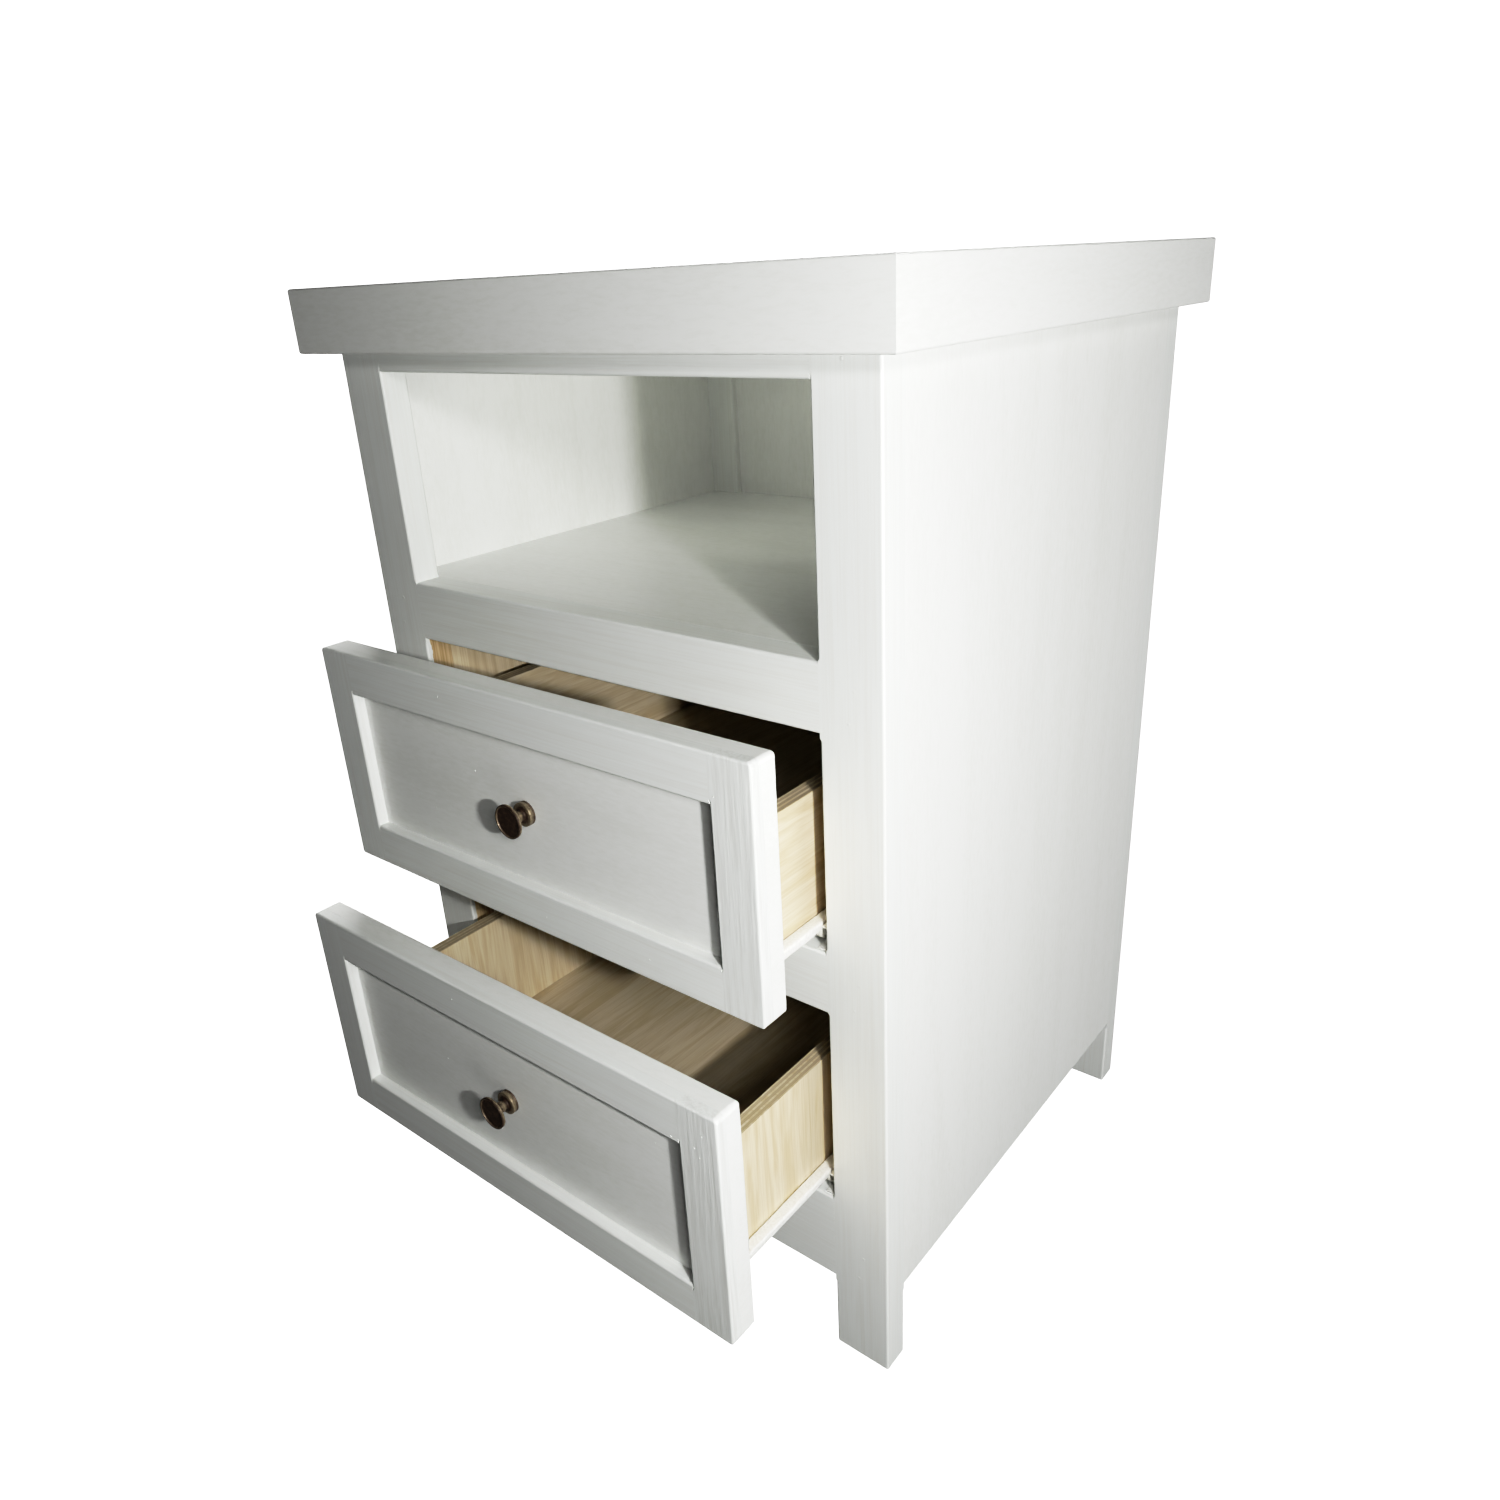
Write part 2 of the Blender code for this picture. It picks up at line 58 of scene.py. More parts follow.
# colours are written as they look on screen and turned to linear light here
def linear(colour):
    channels = [int(colour[i:i + 2], 16) / 255 for i in (1, 3, 5)]
    return [c / 12.92 if c <= 0.04045 else ((c + 0.055) / 1.055) ** 2.4 for c in channels] + [1.0]


# adds a node, sets its properties, then fills or links its inputs
def addNode(tree, kind, inputs=None, **settings):
    node = tree.nodes.new(kind)
    for name, value in settings.items():
        setattr(node, name, value)
    for key, value in (inputs or {}).items():
        if isinstance(value, bpy.types.NodeSocket):
            tree.links.new(value, node.inputs[key])
        else:
            node.inputs[key].default_value = value
    return node


def newMaterial(name, **shaderInputs):
    material = bpy.data.materials.new(name)
    material.use_nodes = True
    tree = material.node_tree
    shader = tree.nodes["Principled BSDF"]
    for key, value in shaderInputs.items():
        shader.inputs[key.replace("_", " ")].default_value = value
    return material, tree, shader


def addMath(tree, operation, *values):
    return addNode(tree, "ShaderNodeMath", dict(enumerate(values)), operation=operation).outputs[0]


def addMix(tree, share, first, second):
    inputs = {0: share, 6: first, 7: second}
    return addNode(tree, "ShaderNodeMix", inputs, data_type="RGBA").outputs[2]


# maps a range of a value onto another range, 0 to 1 unless said otherwise, and stops at its ends
def addRange(tree, value, least=0.0, most=1.0, low=0.0, high=1.0):
    return addNode(tree, "ShaderNodeMapRange", {0: value, 1: least, 2: most, 3: low, 4: high}).outputs[0]


# noise whose grains measure a number of millimetres across
def addGrit(tree, size, detail, **inputs):
    place = addNode(tree, "ShaderNodeTexCoord")
    inputs.update(Vector=place.outputs["Object"], Scale=1 / (size * mm), Detail=detail)
    return addNode(tree, "ShaderNodeTexNoise", inputs).outputs[0]


# two colours blended over a stretch of a value
def addRamp(tree, value, first, second, start, end):
    ramp = addNode(tree, "ShaderNodeValToRGB", {0: value})
    for element, colour, position in zip(ramp.color_ramp.elements, (first, second), (start, end)):
        element.color = linear(colour)
        element.position = position
    return ramp.outputs[0]


def addBump(tree, shader, height, strength, ridge):
    inputs = {"Height": height, "Strength": strength, "Distance": ridge * mm}
    bump = addNode(tree, "ShaderNodeBump", inputs)
    tree.links.new(bump.outputs[0], shader.inputs["Normal"])


# noise along the third number of each board's own "grain" attribute, sized in millimetres
def addGrain(tree, width, length, detail, **inputs):
    grain = addNode(tree, "ShaderNodeAttribute", attribute_name="grain")
    scale = (1 / (width * mm), 1 / (width * mm), 1 / (length * mm))
    at = addNode(tree, "ShaderNodeVectorMath", {0: grain.outputs["Vector"], 1: scale}, operation="MULTIPLY")
    inputs.update(Vector=at.outputs[0], Scale=1.0, Detail=detail)
    return addNode(tree, "ShaderNodeTexNoise", inputs).outputs[0]


# satin alkyd enamel on the solid wood: brushed on, so bristle ridges and a little figure run with the grain
brushedPaint = {
    "white": "#EBEDEA",
    "thin": "#E6E7E3",
    "smooth": 0.38,
    "rough": 0.50,
    "streakWidth": 1.3,
    "streakLength": 75.0,
    "figureWidth": 4.5,
    "figureLength": 150.0,
    "cloudSize": 90.0,
    "ridge": 0.065,
}

# the same enamel rolled on the plywood panels: an even film whose stipple only shows where light grazes it
rolledPaint = {
    "white": "#EDEEEB",
    "thin": "#E8E9E5",
    "smooth": 0.42,
    "rough": 0.48,
    "streakWidth": 2.2,
    "streakLength": 9.0,
    "figureWidth": 30.0,
    "figureLength": 260.0,
    "cloudSize": 110.0,
    "ridge": 0.03,
}

# the shelf has a glossier coat, which wears better under things that are put down
shelfPaint = dict(rolledPaint, smooth=0.28, rough=0.34, ridge=0.006)

# on the drawers' right-hand strips the enamel was brushed over open grain, which stands up through it
raisedGrainPaint = dict(
    brushedPaint,
    streakWidth=2.0,
    streakLength=34.0,
    figureWidth=4.0,
    ridge=0.42,
    thin="#DEDFDB",
)

# where the enamel stops a few millimetres inside the drawer openings, the stiles are bare pine
bareStile = {
    "pine": "#CDBB98",
    "grain": "#AE966F",
    "brushedPast": 3.2,
    "ragged": 3.0,
    "raggedSize": 6.0,
    "feather": 0.4,
    "faceDepth": 1.2,
    "grainWidth": 1.6,
    "grainLength": 60.0,
}


def paintOverPine(tree, colour):
    place = addNode(tree, "ShaderNodeTexCoord")
    x, y, z = addNode(tree, "ShaderNodeSeparateXYZ", {0: place.outputs["Object"]}).outputs
    rag = addGrit(tree, bareStile["raggedSize"], 3.0)
    edge = addMath(tree, "MULTIPLY_ADD", rag, -bareStile["ragged"] * mm, y)
    start = boxes["stile_left"][0].y + (bareStile["brushedPast"] - bareStile["ragged"] / 2) * mm
    bare = addRange(tree, edge, start, start + bareStile["feather"] * mm)
    insideX = abs(boxes["stile_left"][1].x) + bareStile["faceDepth"] * mm
    for limit in (addMath(tree, "LESS_THAN", addMath(tree, "ABSOLUTE", x), insideX),
                  addMath(tree, "LESS_THAN", z, boxes["rail_middle"][0].z),
                  addMath(tree, "GREATER_THAN", z, boxes["rail_bottom"][1].z)):
        bare = addMath(tree, "MULTIPLY", bare, limit)
    grain = addGrain(tree, bareStile["grainWidth"], bareStile["grainLength"], 4.0)
    streak = addRange(tree, grain, 0.4, 0.7)
    pine = addMix(tree, streak, linear(bareStile["pine"]), linear(bareStile["grain"]))
    return addMix(tree, bare, colour, pine)


def paintMaterial(name, paint, overPine=False):
    material, tree, shader = newMaterial(name, IOR=1.5)
    streak = addGrain(tree, paint["streakWidth"], paint["streakLength"], 3.0, Roughness=0.6, Distortion=0.4)
    figure = addGrain(tree, paint["figureWidth"], paint["figureLength"], 4.0, Roughness=0.65, Distortion=0.8)
    cloud = addGrit(tree, paint["cloudSize"], 2.0)
    # brush marks are stronger in some places than in others
    force = addRange(tree, cloud, 0.4, 0.65, 0.25, 1.0)
    both = addMath(tree, "MULTIPLY_ADD", figure, 0.9, streak)
    addBump(tree, shader, addMath(tree, "MULTIPLY", both, force), 0.8, paint["ridge"])
    cover = addRange(tree, both, 0.7, 1.05)
    colour = addMix(tree, cover, linear(paint["thin"]), linear(paint["white"]))
    if overPine:
        colour = paintOverPine(tree, colour)
    sheen = addRange(tree, streak, 0.3, 0.7, paint["rough"], paint["smooth"])
    tree.links.new(colour, shader.inputs["Base Color"])
    tree.links.new(sheen, shader.inputs["Roughness"])
    return material


# rotary-cut pine plywood, left raw: pale faces, and edges where every second ply shows dark end grain;
# layerStep and faceDepth are in plies: how far the figure shifts from one to the next, and where a face lies
ply = {
    "pale": "#DACFB7",
    "streak": "#BBAA88",
    "figure": "#CABB9B",
    "endGrain": "#B7A98E",
    "glue": "#8D7E66",
    "fibreWidth": 1.2,
    "fibreLength": 45.0,
    "figureWidth": 11.0,
    "figureLength": 140.0,
    "layerStep": 7.3,
    "faceDepth": 0.3,
    "ridge": 0.12,
}


def plyMaterial():
    material, tree, shader = newMaterial("rawPinePlywood", Roughness=0.72, IOR=1.45)
    grain = addNode(tree, "ShaderNodeAttribute", attribute_name="grain")
    through, across, along = addNode(tree, "ShaderNodeSeparateXYZ", {0: grain.outputs["Vector"]}).outputs
    layer = addMath(tree, "FLOOR", through)
    crossed = addMath(tree, "FLOORED_MODULO", layer, 2.0)
    straight = addNode(tree, "ShaderNodeCombineXYZ", {0: layer, 1: across, 2: along}).outputs[0]
    turned = addNode(tree, "ShaderNodeCombineXYZ", {0: layer, 1: along, 2: across}).outputs[0]
    laid = addNode(tree, "ShaderNodeMix", {0: crossed, 4: straight, 5: turned}, data_type="VECTOR").outputs[1]

    def woodNoise(width, length, detail, distortion):
        scale = (ply["layerStep"], 1 / (width * mm), 1 / (length * mm))
        at = addNode(tree, "ShaderNodeVectorMath", {0: laid, 1: scale}, operation="MULTIPLY")
        return addNode(tree, "ShaderNodeTexNoise", {"Vector": at.outputs[0], "Scale": 1.0, "Detail": detail,
                       "Roughness": 0.6, "Distortion": distortion}).outputs[0]

    fibre = woodNoise(ply["fibreWidth"], ply["fibreLength"], 4.0, 0.2)
    figure = woodNoise(ply["figureWidth"], ply["figureLength"], 3.0, 1.4)
    fromMiddle = addMath(tree, "ABSOLUTE", addMath(tree, "SUBTRACT", addMath(tree, "FRACT", through), 0.5))
    glueLine = addRange(tree, fromMiddle, 0.38, 0.5, 0.0, 0.75)
    colour = linear(ply["pale"])
    for share, name, most in ((addRange(tree, figure, 0.45, 0.62), "figure", 0.8),
                              (addRange(tree, fibre, 0.42, 0.72), "streak", 0.4),
                              (crossed, "endGrain", 0.8),
                              (glueLine, "glue", 0.65)):
        colour = addMix(tree, addMath(tree, "MULTIPLY", share, most), colour, linear(ply[name]))
    tree.links.new(colour, shader.inputs["Base Color"])
    addBump(tree, shader, fibre, 0.6, ply["ridge"])
    return material


# white epoxy powder coat on folded steel: even and glossy, with a fine orange peel
enamel = {"white": "#ECECE8", "shade": "#E2E1DC", "roughness": 0.3, "peel": 1.6, "ridge": 0.03}


def enamelMaterial():
    material, tree, shader = newMaterial("epoxyPowderCoat", Roughness=enamel["roughness"])
    peel = addGrit(tree, enamel["peel"], 2.0)
    colour = addRamp(tree, peel, enamel["shade"], enamel["white"], 0.35, 0.6)
    tree.links.new(colour, shader.inputs["Base Color"])
    addBump(tree, shader, peel, 1.0, enamel["ridge"])
    return material


# natural nylon, moulded: milky and slightly waxy
nylon = {"milky": "#E4E3DA", "scuffed": "#CFCDC2", "roughness": 0.42, "scuff": 2.5}


def nylonMaterial():
    material, tree, shader = newMaterial("mouldedNylon", Roughness=nylon["roughness"], IOR=1.53)
    scuff = addGrit(tree, nylon["scuff"], 3.0)
    colour = addRamp(tree, scuff, nylon["scuffed"], nylon["milky"], 0.3, 0.55)
    tree.links.new(colour, shader.inputs["Base Color"])
    return material


# zinc alloy with an antique bronze patina, rubbed back to brass on its edges
bronze = {
    "patina": "#3F3128",
    "brown": "#5C4D3E",
    "brass": "#B4A78F",
    "smooth": 0.26,
    "rough": 0.55,
    "oxide": 0.2,
    "rubbedBare": 0.8,
    "patch": 2.2,
}


def bronzeMaterial():
    material, tree, shader = newMaterial("antiqueBronze", Metallic=1.0)
    patch = addGrit(tree, bronze["patch"], 5.0, Roughness=0.7)
    dull = addRamp(tree, patch, bronze["patina"], bronze["brown"], 0.45, 0.7)
    wear = addNode(tree, "ShaderNodeAttribute", attribute_name="wear")
    rubbed = addRange(tree, addMath(tree, "MULTIPLY", wear.outputs["Fac"], patch), 0.12, 0.55)
    # the patina is a dull oxide; bare metal only shows where it is rubbed away
    for key, value in (("Base Color", addMix(tree, rubbed, dull, linear(bronze["brass"]))),
                       ("Metallic", addRange(tree, rubbed, 0.0, 1.0, bronze["oxide"], bronze["rubbedBare"])),
                       ("Roughness", addRange(tree, rubbed, 0.0, 1.0, bronze["rough"], bronze["smooth"]))):
        tree.links.new(value, shader.inputs[key])
    return material


# bright zinc plate on small steel screws and pins: a faint blue-grey haze
zinc = {"bright": "#B9BBBE", "haze": "#8F9298", "roughness": 0.34, "spangle": 1.2}


def zincMaterial():
    material, tree, shader = newMaterial("zincPlatedSteel", Metallic=1.0, Roughness=zinc["roughness"])
    haze = addGrit(tree, zinc["spangle"], 3.0)
    colour = addRamp(tree, haze, zinc["haze"], zinc["bright"], 0.35, 0.65)
    tree.links.new(colour, shader.inputs["Base Color"])
    return material


finishes = {
    "white_paint": paintMaterial("brushedSatinEnamel", brushedPaint),
    "birch_plywood": plyMaterial(),
    "slide_enamel": enamelMaterial(),
    "nylon": nylonMaterial(),
    "aged_bronze": bronzeMaterial(),
    "zinc_steel": zincMaterial(),
}

# boards whose enamel isn't the plain brushed coat
rolledEnamel = paintMaterial("rolledSatinEnamel", rolledPaint)
overPine = paintMaterial("enamelOverPine", brushedPaint, True)
raisedGrain = paintMaterial("enamelOverRaisedGrain", raisedGrainPaint)
coats = {
    "cubby_shelf": paintMaterial("rolledSemiGlossEnamel", shelfPaint),
    "stile_left": overPine,
    "stile_right": overPine,
    "upper_strip_right": raisedGrain,
    "lower_strip_right": raisedGrain,
}
for node in ("trim_front", "trim_left", "trim_right", "side_left", "side_right", "top_panel", "back_panel",
             "upper_front_panel", "lower_front_panel"):
    coats[node] = rolledEnamel
print("materials made")


def addObject(name, data):
    holder = bpy.data.objects.new(name, data)
    bpy.context.scene.collection.objects.link(holder)
    return holder


# makes a mesh a finished piece that rides on a body and, where a CAD node is named, stands for it
def placePiece(name, mesh, slot, body, node=None):
    piece = addObject(name, mesh)
    mesh.materials.clear()
    mesh.materials.append(coats.get(node, finishes[slot]))
    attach(piece, body)
    if node:
        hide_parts(node)
    return piece


def toMesh(shape, name):
    mesh = bpy.data.meshes.new(name)
    shape.to_mesh(mesh)
    shape.free()
    mesh.shade_smooth()
    return mesh


# a box cut across a number of times along each axis, so that its faces and arrises can waver
def cutBox(low, high, cuts):
    size = high - low
    shape = bmesh.new()
    bmesh.ops.create_cube(shape, size=1.0)
    bmesh.ops.scale(shape, vec=size, verts=shape.verts)
    bmesh.ops.translate(shape, vec=(low + high) / 2, verts=shape.verts)
    for axis, count in cuts:
        along = [e for e in shape.edges if abs((e.verts[1].co - e.verts[0].co)[axis]) > size[axis] / 2]
        if count > 0:
            bmesh.ops.subdivide_edges(shape, edges=along, cuts=count, use_grid_fill=True)
    return shape


# how painted boards are eased and how far they are from dead flat; an edge sharper than cornerAngle, in
# radians, is an arris, and a corner on the mitre's line to within cutSlack belongs to its cut
board = {
    "coat": 0.16,
    "arris": 1.5,
    "corner": 3.5,
    "cornerAngle": 0.7,
    "jointReach": 0.6,
    "cutSlack": 0.02,
    "spacing": 9.0,
    "waver": 0.05,
    "waverLength": 70.0,
    "arrisWaver": 0.10,
    "arrisWaverLength": 14.0,
}


def neighbours(node):
    low, high = boxes[node]
    reach = board["jointReach"] * mm
    near = []
    for other, (otherLow, otherHigh) in boxes.items():
        apart = any(otherLow[i] > high[i] + reach or otherHigh[i] < low[i] - reach for i in range(3))
        if other != node and bodyOf[other] == bodyOf[node] and not apart:
            near.append((otherLow, otherHigh))
    return near


# whether a point lies where two lengths of trim meet, on the 45 degree cut at a front corner
def onMitre(point):
    corner = boxes["trim_right"][1].x + boxes["trim_front"][0].y
    return abs(abs(point.x) + point.y - corner) < board["cutSlack"] * mm


# full easing on free arrises; where a board butts against another it stays square and crisp, filled flush
def weighEdges(shape, node):
    reach = board["jointReach"] * mm
    near = neighbours(node)
    weight = shape.edges.layers.float.new("bevel_weight_edge")
    for edge in shape.edges:
        if edge.calc_face_angle(0) < board["cornerAngle"]:
            continue
        middle = (edge.verts[0].co + edge.verts[1].co) / 2
        met = any(all(low[i] - reach < middle[i] < high[i] + reach for i in range(3)) for low, high in near)
        if node.startswith("trim"):
            met = met or all(onMitre(vert.co) for vert in edge.verts)
        # the drawer fronts' four corners are sanded rounder than their arrises
        frontCorner = "front_panel" in node or "strip" in node
        run = (edge.verts[1].co - edge.verts[0].co).normalized()
        share = 1.0 if frontCorner and abs(run.y) > 0.9 else board["arris"] / board["corner"]
        edge[weight] = 0.0 if met else share
        edge.smooth = not met


def waver(shape, seed, held):
    drift = Vector((seed * 3.1, seed * 5.7, seed * 7.9))
    long, short = board["waverLength"] * mm, board["arrisWaverLength"] * mm
    shape.normal_update()
    for vert in shape.verts:
        if held(vert.co):
            continue
        slow = noise.noise(vert.co / long + drift) * board["waver"] * mm
        onArris = any(edge.calc_face_angle(0) > board["cornerAngle"] for edge in vert.link_edges)
        quick = noise.noise(vert.co / short + drift) * board["arrisWaver"] * mm if onArris else 0.0
        vert.co += vert.normal * (slow - abs(quick))


# the board's own wood coordinates, for the materials: through its thickness, across and along its grain
def writeGrain(mesh, node, alongAxis, plies=0):
    low, high = boxes[node]
    size = high - low
    thick, wide = sorted((axis for axis in range(3) if axis != alongAxis), key=lambda axis: size[axis])
    luck = random.Random(node)
    shift = (luck.uniform(0, 3), luck.uniform(0, 3), luck.uniform(0, 3))
    attribute = mesh.attributes.new("grain", "FLOAT_VECTOR", "POINT")
    values = []
    for vert in mesh.vertices:
        through = vert.co[thick] + shift[0]
        if plies:
            inside = min(max((vert.co[thick] - low[thick]) / size[thick], 0.0), 1.0)
            through = ply["faceDepth"] + (plies - 2 * ply["faceDepth"]) * inside
        values += [through, vert.co[wide] + shift[1], vert.co[alongAxis] + shift[2]]
    attribute.data.foreach_set("vector", values)


def easeArrises(piece, width):
    bevel = piece.modifiers.new("easedArrises", "BEVEL")
    bevel.limit_method = "WEIGHT"
    bevel.width = width
    bevel.segments = 3
    bevel.harden_normals = True


def alongAxisOf(node):
    acrossFront = ("rail", "top_panel", "front_panel", "strip_top", "strip_bottom", "trim_front")
    if any(word in node for word in acrossFront):
        return 0
    return 1 if node in ("trim_left", "trim_right") else 2


# the trim's ends are cut at 45 degrees where its three lengths meet round the front corners
def mitreTrim(shape, node):
    half, front = boxes["trim_right"][1].x, boxes["trim_front"][0].y
    coat = board["coat"] * mm
    low, high = boxes[node]
    for vert in shape.verts:
        if node == "trim_front":
            vert.co.x *= (half + front - vert.co.y) / (high.x + coat)
        else:
            share = (high.y + coat - vert.co.y) / (high.y - low.y + 2 * coat)
            vert.co.y += (half + front - abs(vert.co.x) - low.y + coat) * share


def paintedBoard(node, seed):
    low, high = (corner.copy() for corner in boxes[node])
    coat = Vector((1, 1, 1)) * board["coat"] * mm
    low -= coat
    high += coat
    # the back of a drawer front shuts against the case, so it keeps its bare size
    if node.endswith("front_panel"):
        high.y = boxes[node][1].y
    size = high - low
    shape = cutBox(low, high, [(axis, int(size[axis] / (board["spacing"] * mm))) for axis in range(3)])
    if node.startswith("trim"):
        mitreTrim(shape, node)
    weighEdges(shape, node)
    held = onMitre if node.startswith("trim") else lambda point: node.endswith("front_panel")
    waver(shape, seed, held)
    mesh = toMesh(shape, node + "_painted")
    writeGrain(mesh, node, alongAxisOf(node))
    piece = placePiece(node + "_painted", mesh, "white_paint", bodyOf[node], node)
    easeArrises(piece, board["corner"] * mm)


paintedNodes = [node for node, slot in slotOf.items() if slot == "white_paint" and node != "cubby_shelf"]
for seed, node in enumerate(paintedNodes):
    paintedBoard(node, seed)
print("painted boards", len(paintedNodes))


# the shelf fills the case between the sides, notched round the rear legs with a little room
def cubbyShelf():
    low, high = boxes["cubby_shelf"]
    leg = boxes["rear_leg_right"][0]
    room = 0.3 * mm
    notchX, notchY = leg.x - room, leg.y - room
    outline = [(low.x, low.y), (high.x, low.y), (high.x, notchY), (notchX, notchY),
               (notchX, high.y), (-notchX, high.y), (-notchX, notchY), (low.x, notchY)]
    shape = bmesh.new()
    ring = [shape.verts.new((x, y, low.z)) for x, y in outline]
    shape.faces.new(ring)
    raised = bmesh.ops.extrude_face_region(shape, geom=list(shape.faces))
    tops = [item for item in raised["geom"] if isinstance(item, bmesh.types.BMVert)]
    bmesh.ops.translate(shape, vec=(0, 0, high.z - low.z + board["coat"] * mm), verts=tops)
    bmesh.ops.recalc_face_normals(shape, faces=shape.faces)
    weighEdges(shape, "cubby_shelf")
    mesh = toMesh(shape, "cubby_shelf_painted")
    writeGrain(mesh, "cubby_shelf", 0)
    piece = placePiece("cubby_shelf_painted", mesh, "white_paint", "case", "cubby_shelf")
    easeArrises(piece, board["corner"] * mm)


cubbyShelf()

# plywood boards: how many plies each thickness holds, and how rough a saw leaves their edges
plyBoard = {
    "plies": {"box_bottom": 3, "slide_panel": 7, "box": 7},
    "spacing": 2.5,
    "sawn": 0.16,
    "fray": 0.10,
    "frayLength": 3.0,
}


def plyCount(node):
    return next(count for word, count in plyBoard["plies"].items() if word in node)


def plywoodBoard(node, alongAxis):
    low, high = boxes[node]
    size = high - low
    plies = plyCount(node)
    thick = min(range(3), key=lambda axis: size[axis])
    longest = max(range(3), key=lambda axis: size[axis])
    cuts = int(size[longest] / (plyBoard["spacing"] * mm))
    shape = cutBox(low, high, [(thick, 2 * plies - 1), (longest, cuts)])
    luck = random.Random(node + "saw")
    depth = [luck.uniform(0, plyBoard["sawn"]) for _ in range(plies + 1)]
    wide = 3 - thick - longest
    for vert in shape.verts:
        inside = (vert.co[thick] - low[thick]) / size[thick]
        if inside < 0.01 or inside > 0.99:
            continue
        cut = depth[min(int(inside * plies), plies)]
        fray = plyBoard["fray"] * noise.noise(vert.co / (plyBoard["frayLength"] * mm))
        inward = 1 if vert.co[wide] < (low[wide] + high[wide]) / 2 else -1
        vert.co[wide] += inward * (cut + abs(fray)) * mm
    mesh = toMesh(shape, node + "_sawn")
    mesh.set_sharp_from_angle(angle=math.radians(35))
    writeGrain(mesh, node, alongAxis, plies)
    return placePiece(node + "_sawn", mesh, "birch_plywood", bodyOf[node], node)


for side in sides:
    plywoodBoard(f"slide_panel_{side}", 2)
    plywoodBoard(f"upper_box_{side}", 1)
    plywoodBoard(f"lower_box_{side}", 2)
for drawer in drawers:
    plywoodBoard(f"{drawer}_box_back", 0)
    plywoodBoard(f"{drawer}_box_bottom", 1)
print("plywood boards made")


# a round shape turned about a line along one axis, from (radius, distance along it) pairs
def turnedShape(profile, centre, direction, steps):
    shape = bmesh.new()
    along = Vector(direction).normalized()
    across = along.orthogonal().normalized()
    points = [shape.verts.new(Vector(centre) + across * radius + along * reach) for radius, reach in profile]
    edges = [shape.edges.new(pair) for pair in zip(points, points[1:])]
    if profile[0][0] > 0:
        edges.append(shape.edges.new((points[-1], points[0])))
    bmesh.ops.spin(shape, geom=points + edges, cent=Vector(centre), axis=along, angle=math.tau, steps=steps,
                   use_merge=True)
    bmesh.ops.remove_doubles(shape, verts=shape.verts, dist=1e-6)
    bmesh.ops.recalc_face_normals(shape, faces=shape.faces)
    return shape


# the knob's screw goes through the box front, so that board is drilled after it is sawn
def boxFront(drawer):
    node = f"{drawer}_box_front"
    piece = plywoodBoard(node, 0)
    screwLow, screwHigh = boxes[f"{drawer}_knob_screw"]
    middle = (screwLow + screwHigh) / 2
    low, high = boxes[node]
    hole = {"radius": 2.2, "steps": 24, "past": 2.0}
    start = Vector((middle.x, low.y - hole["past"] * mm, middle.z))
    length = high.y - low.y + 2 * hole["past"] * mm
    drill = turnedShape([(0, length), (hole["radius"] * mm, length), (hole["radius"] * mm, 0), (0, 0)],
                        start, (0, 1, 0), hole["steps"])
    cutter = addObject("drill", toMesh(drill, "drill"))
    drilled = piece.modifiers.new("drilled", "BOOLEAN")
    drilled.object = cutter
    bpy.context.view_layer.update()
    evaluated = piece.evaluated_get(bpy.context.evaluated_depsgraph_get())
    mesh = bpy.data.meshes.new_from_object(evaluated)
    piece.modifiers.clear()
    piece.data = mesh
    bpy.data.objects.remove(cutter)


for drawer in drawers:
    boxFront(drawer)

# the knob, in millimetres; its reach is counted from the face it is screwed to
knob = {
    "length": 15.0,
    "baseRadius": 7.5,
    "baseHeight": 3.8,
    "baseRound": 0.5,
    "beadFoot": 0.8,
    "beadTop": 1.3,
    "beadSlope": 0.15,
    "beadCut": 0.12,
    "stemRadius": 3.2,
    "stemFillet": 0.8,
    "stemWaist": 1.6,
    "stemShoulder": 3.2,
    "stemSwell": 0.45,
    "flare": 2.4,
    "relief": 0.1,
    "headRadius": 10.6,
    "headThickness": 2.1,
    "rim": 1.1,
    "rimSlope": 0.5,
    "dish": 0.8,
    "groovePitch": 0.62,
    "grooveDepth": 0.07,
    "round": 0.35,
    "steps": 96,
}


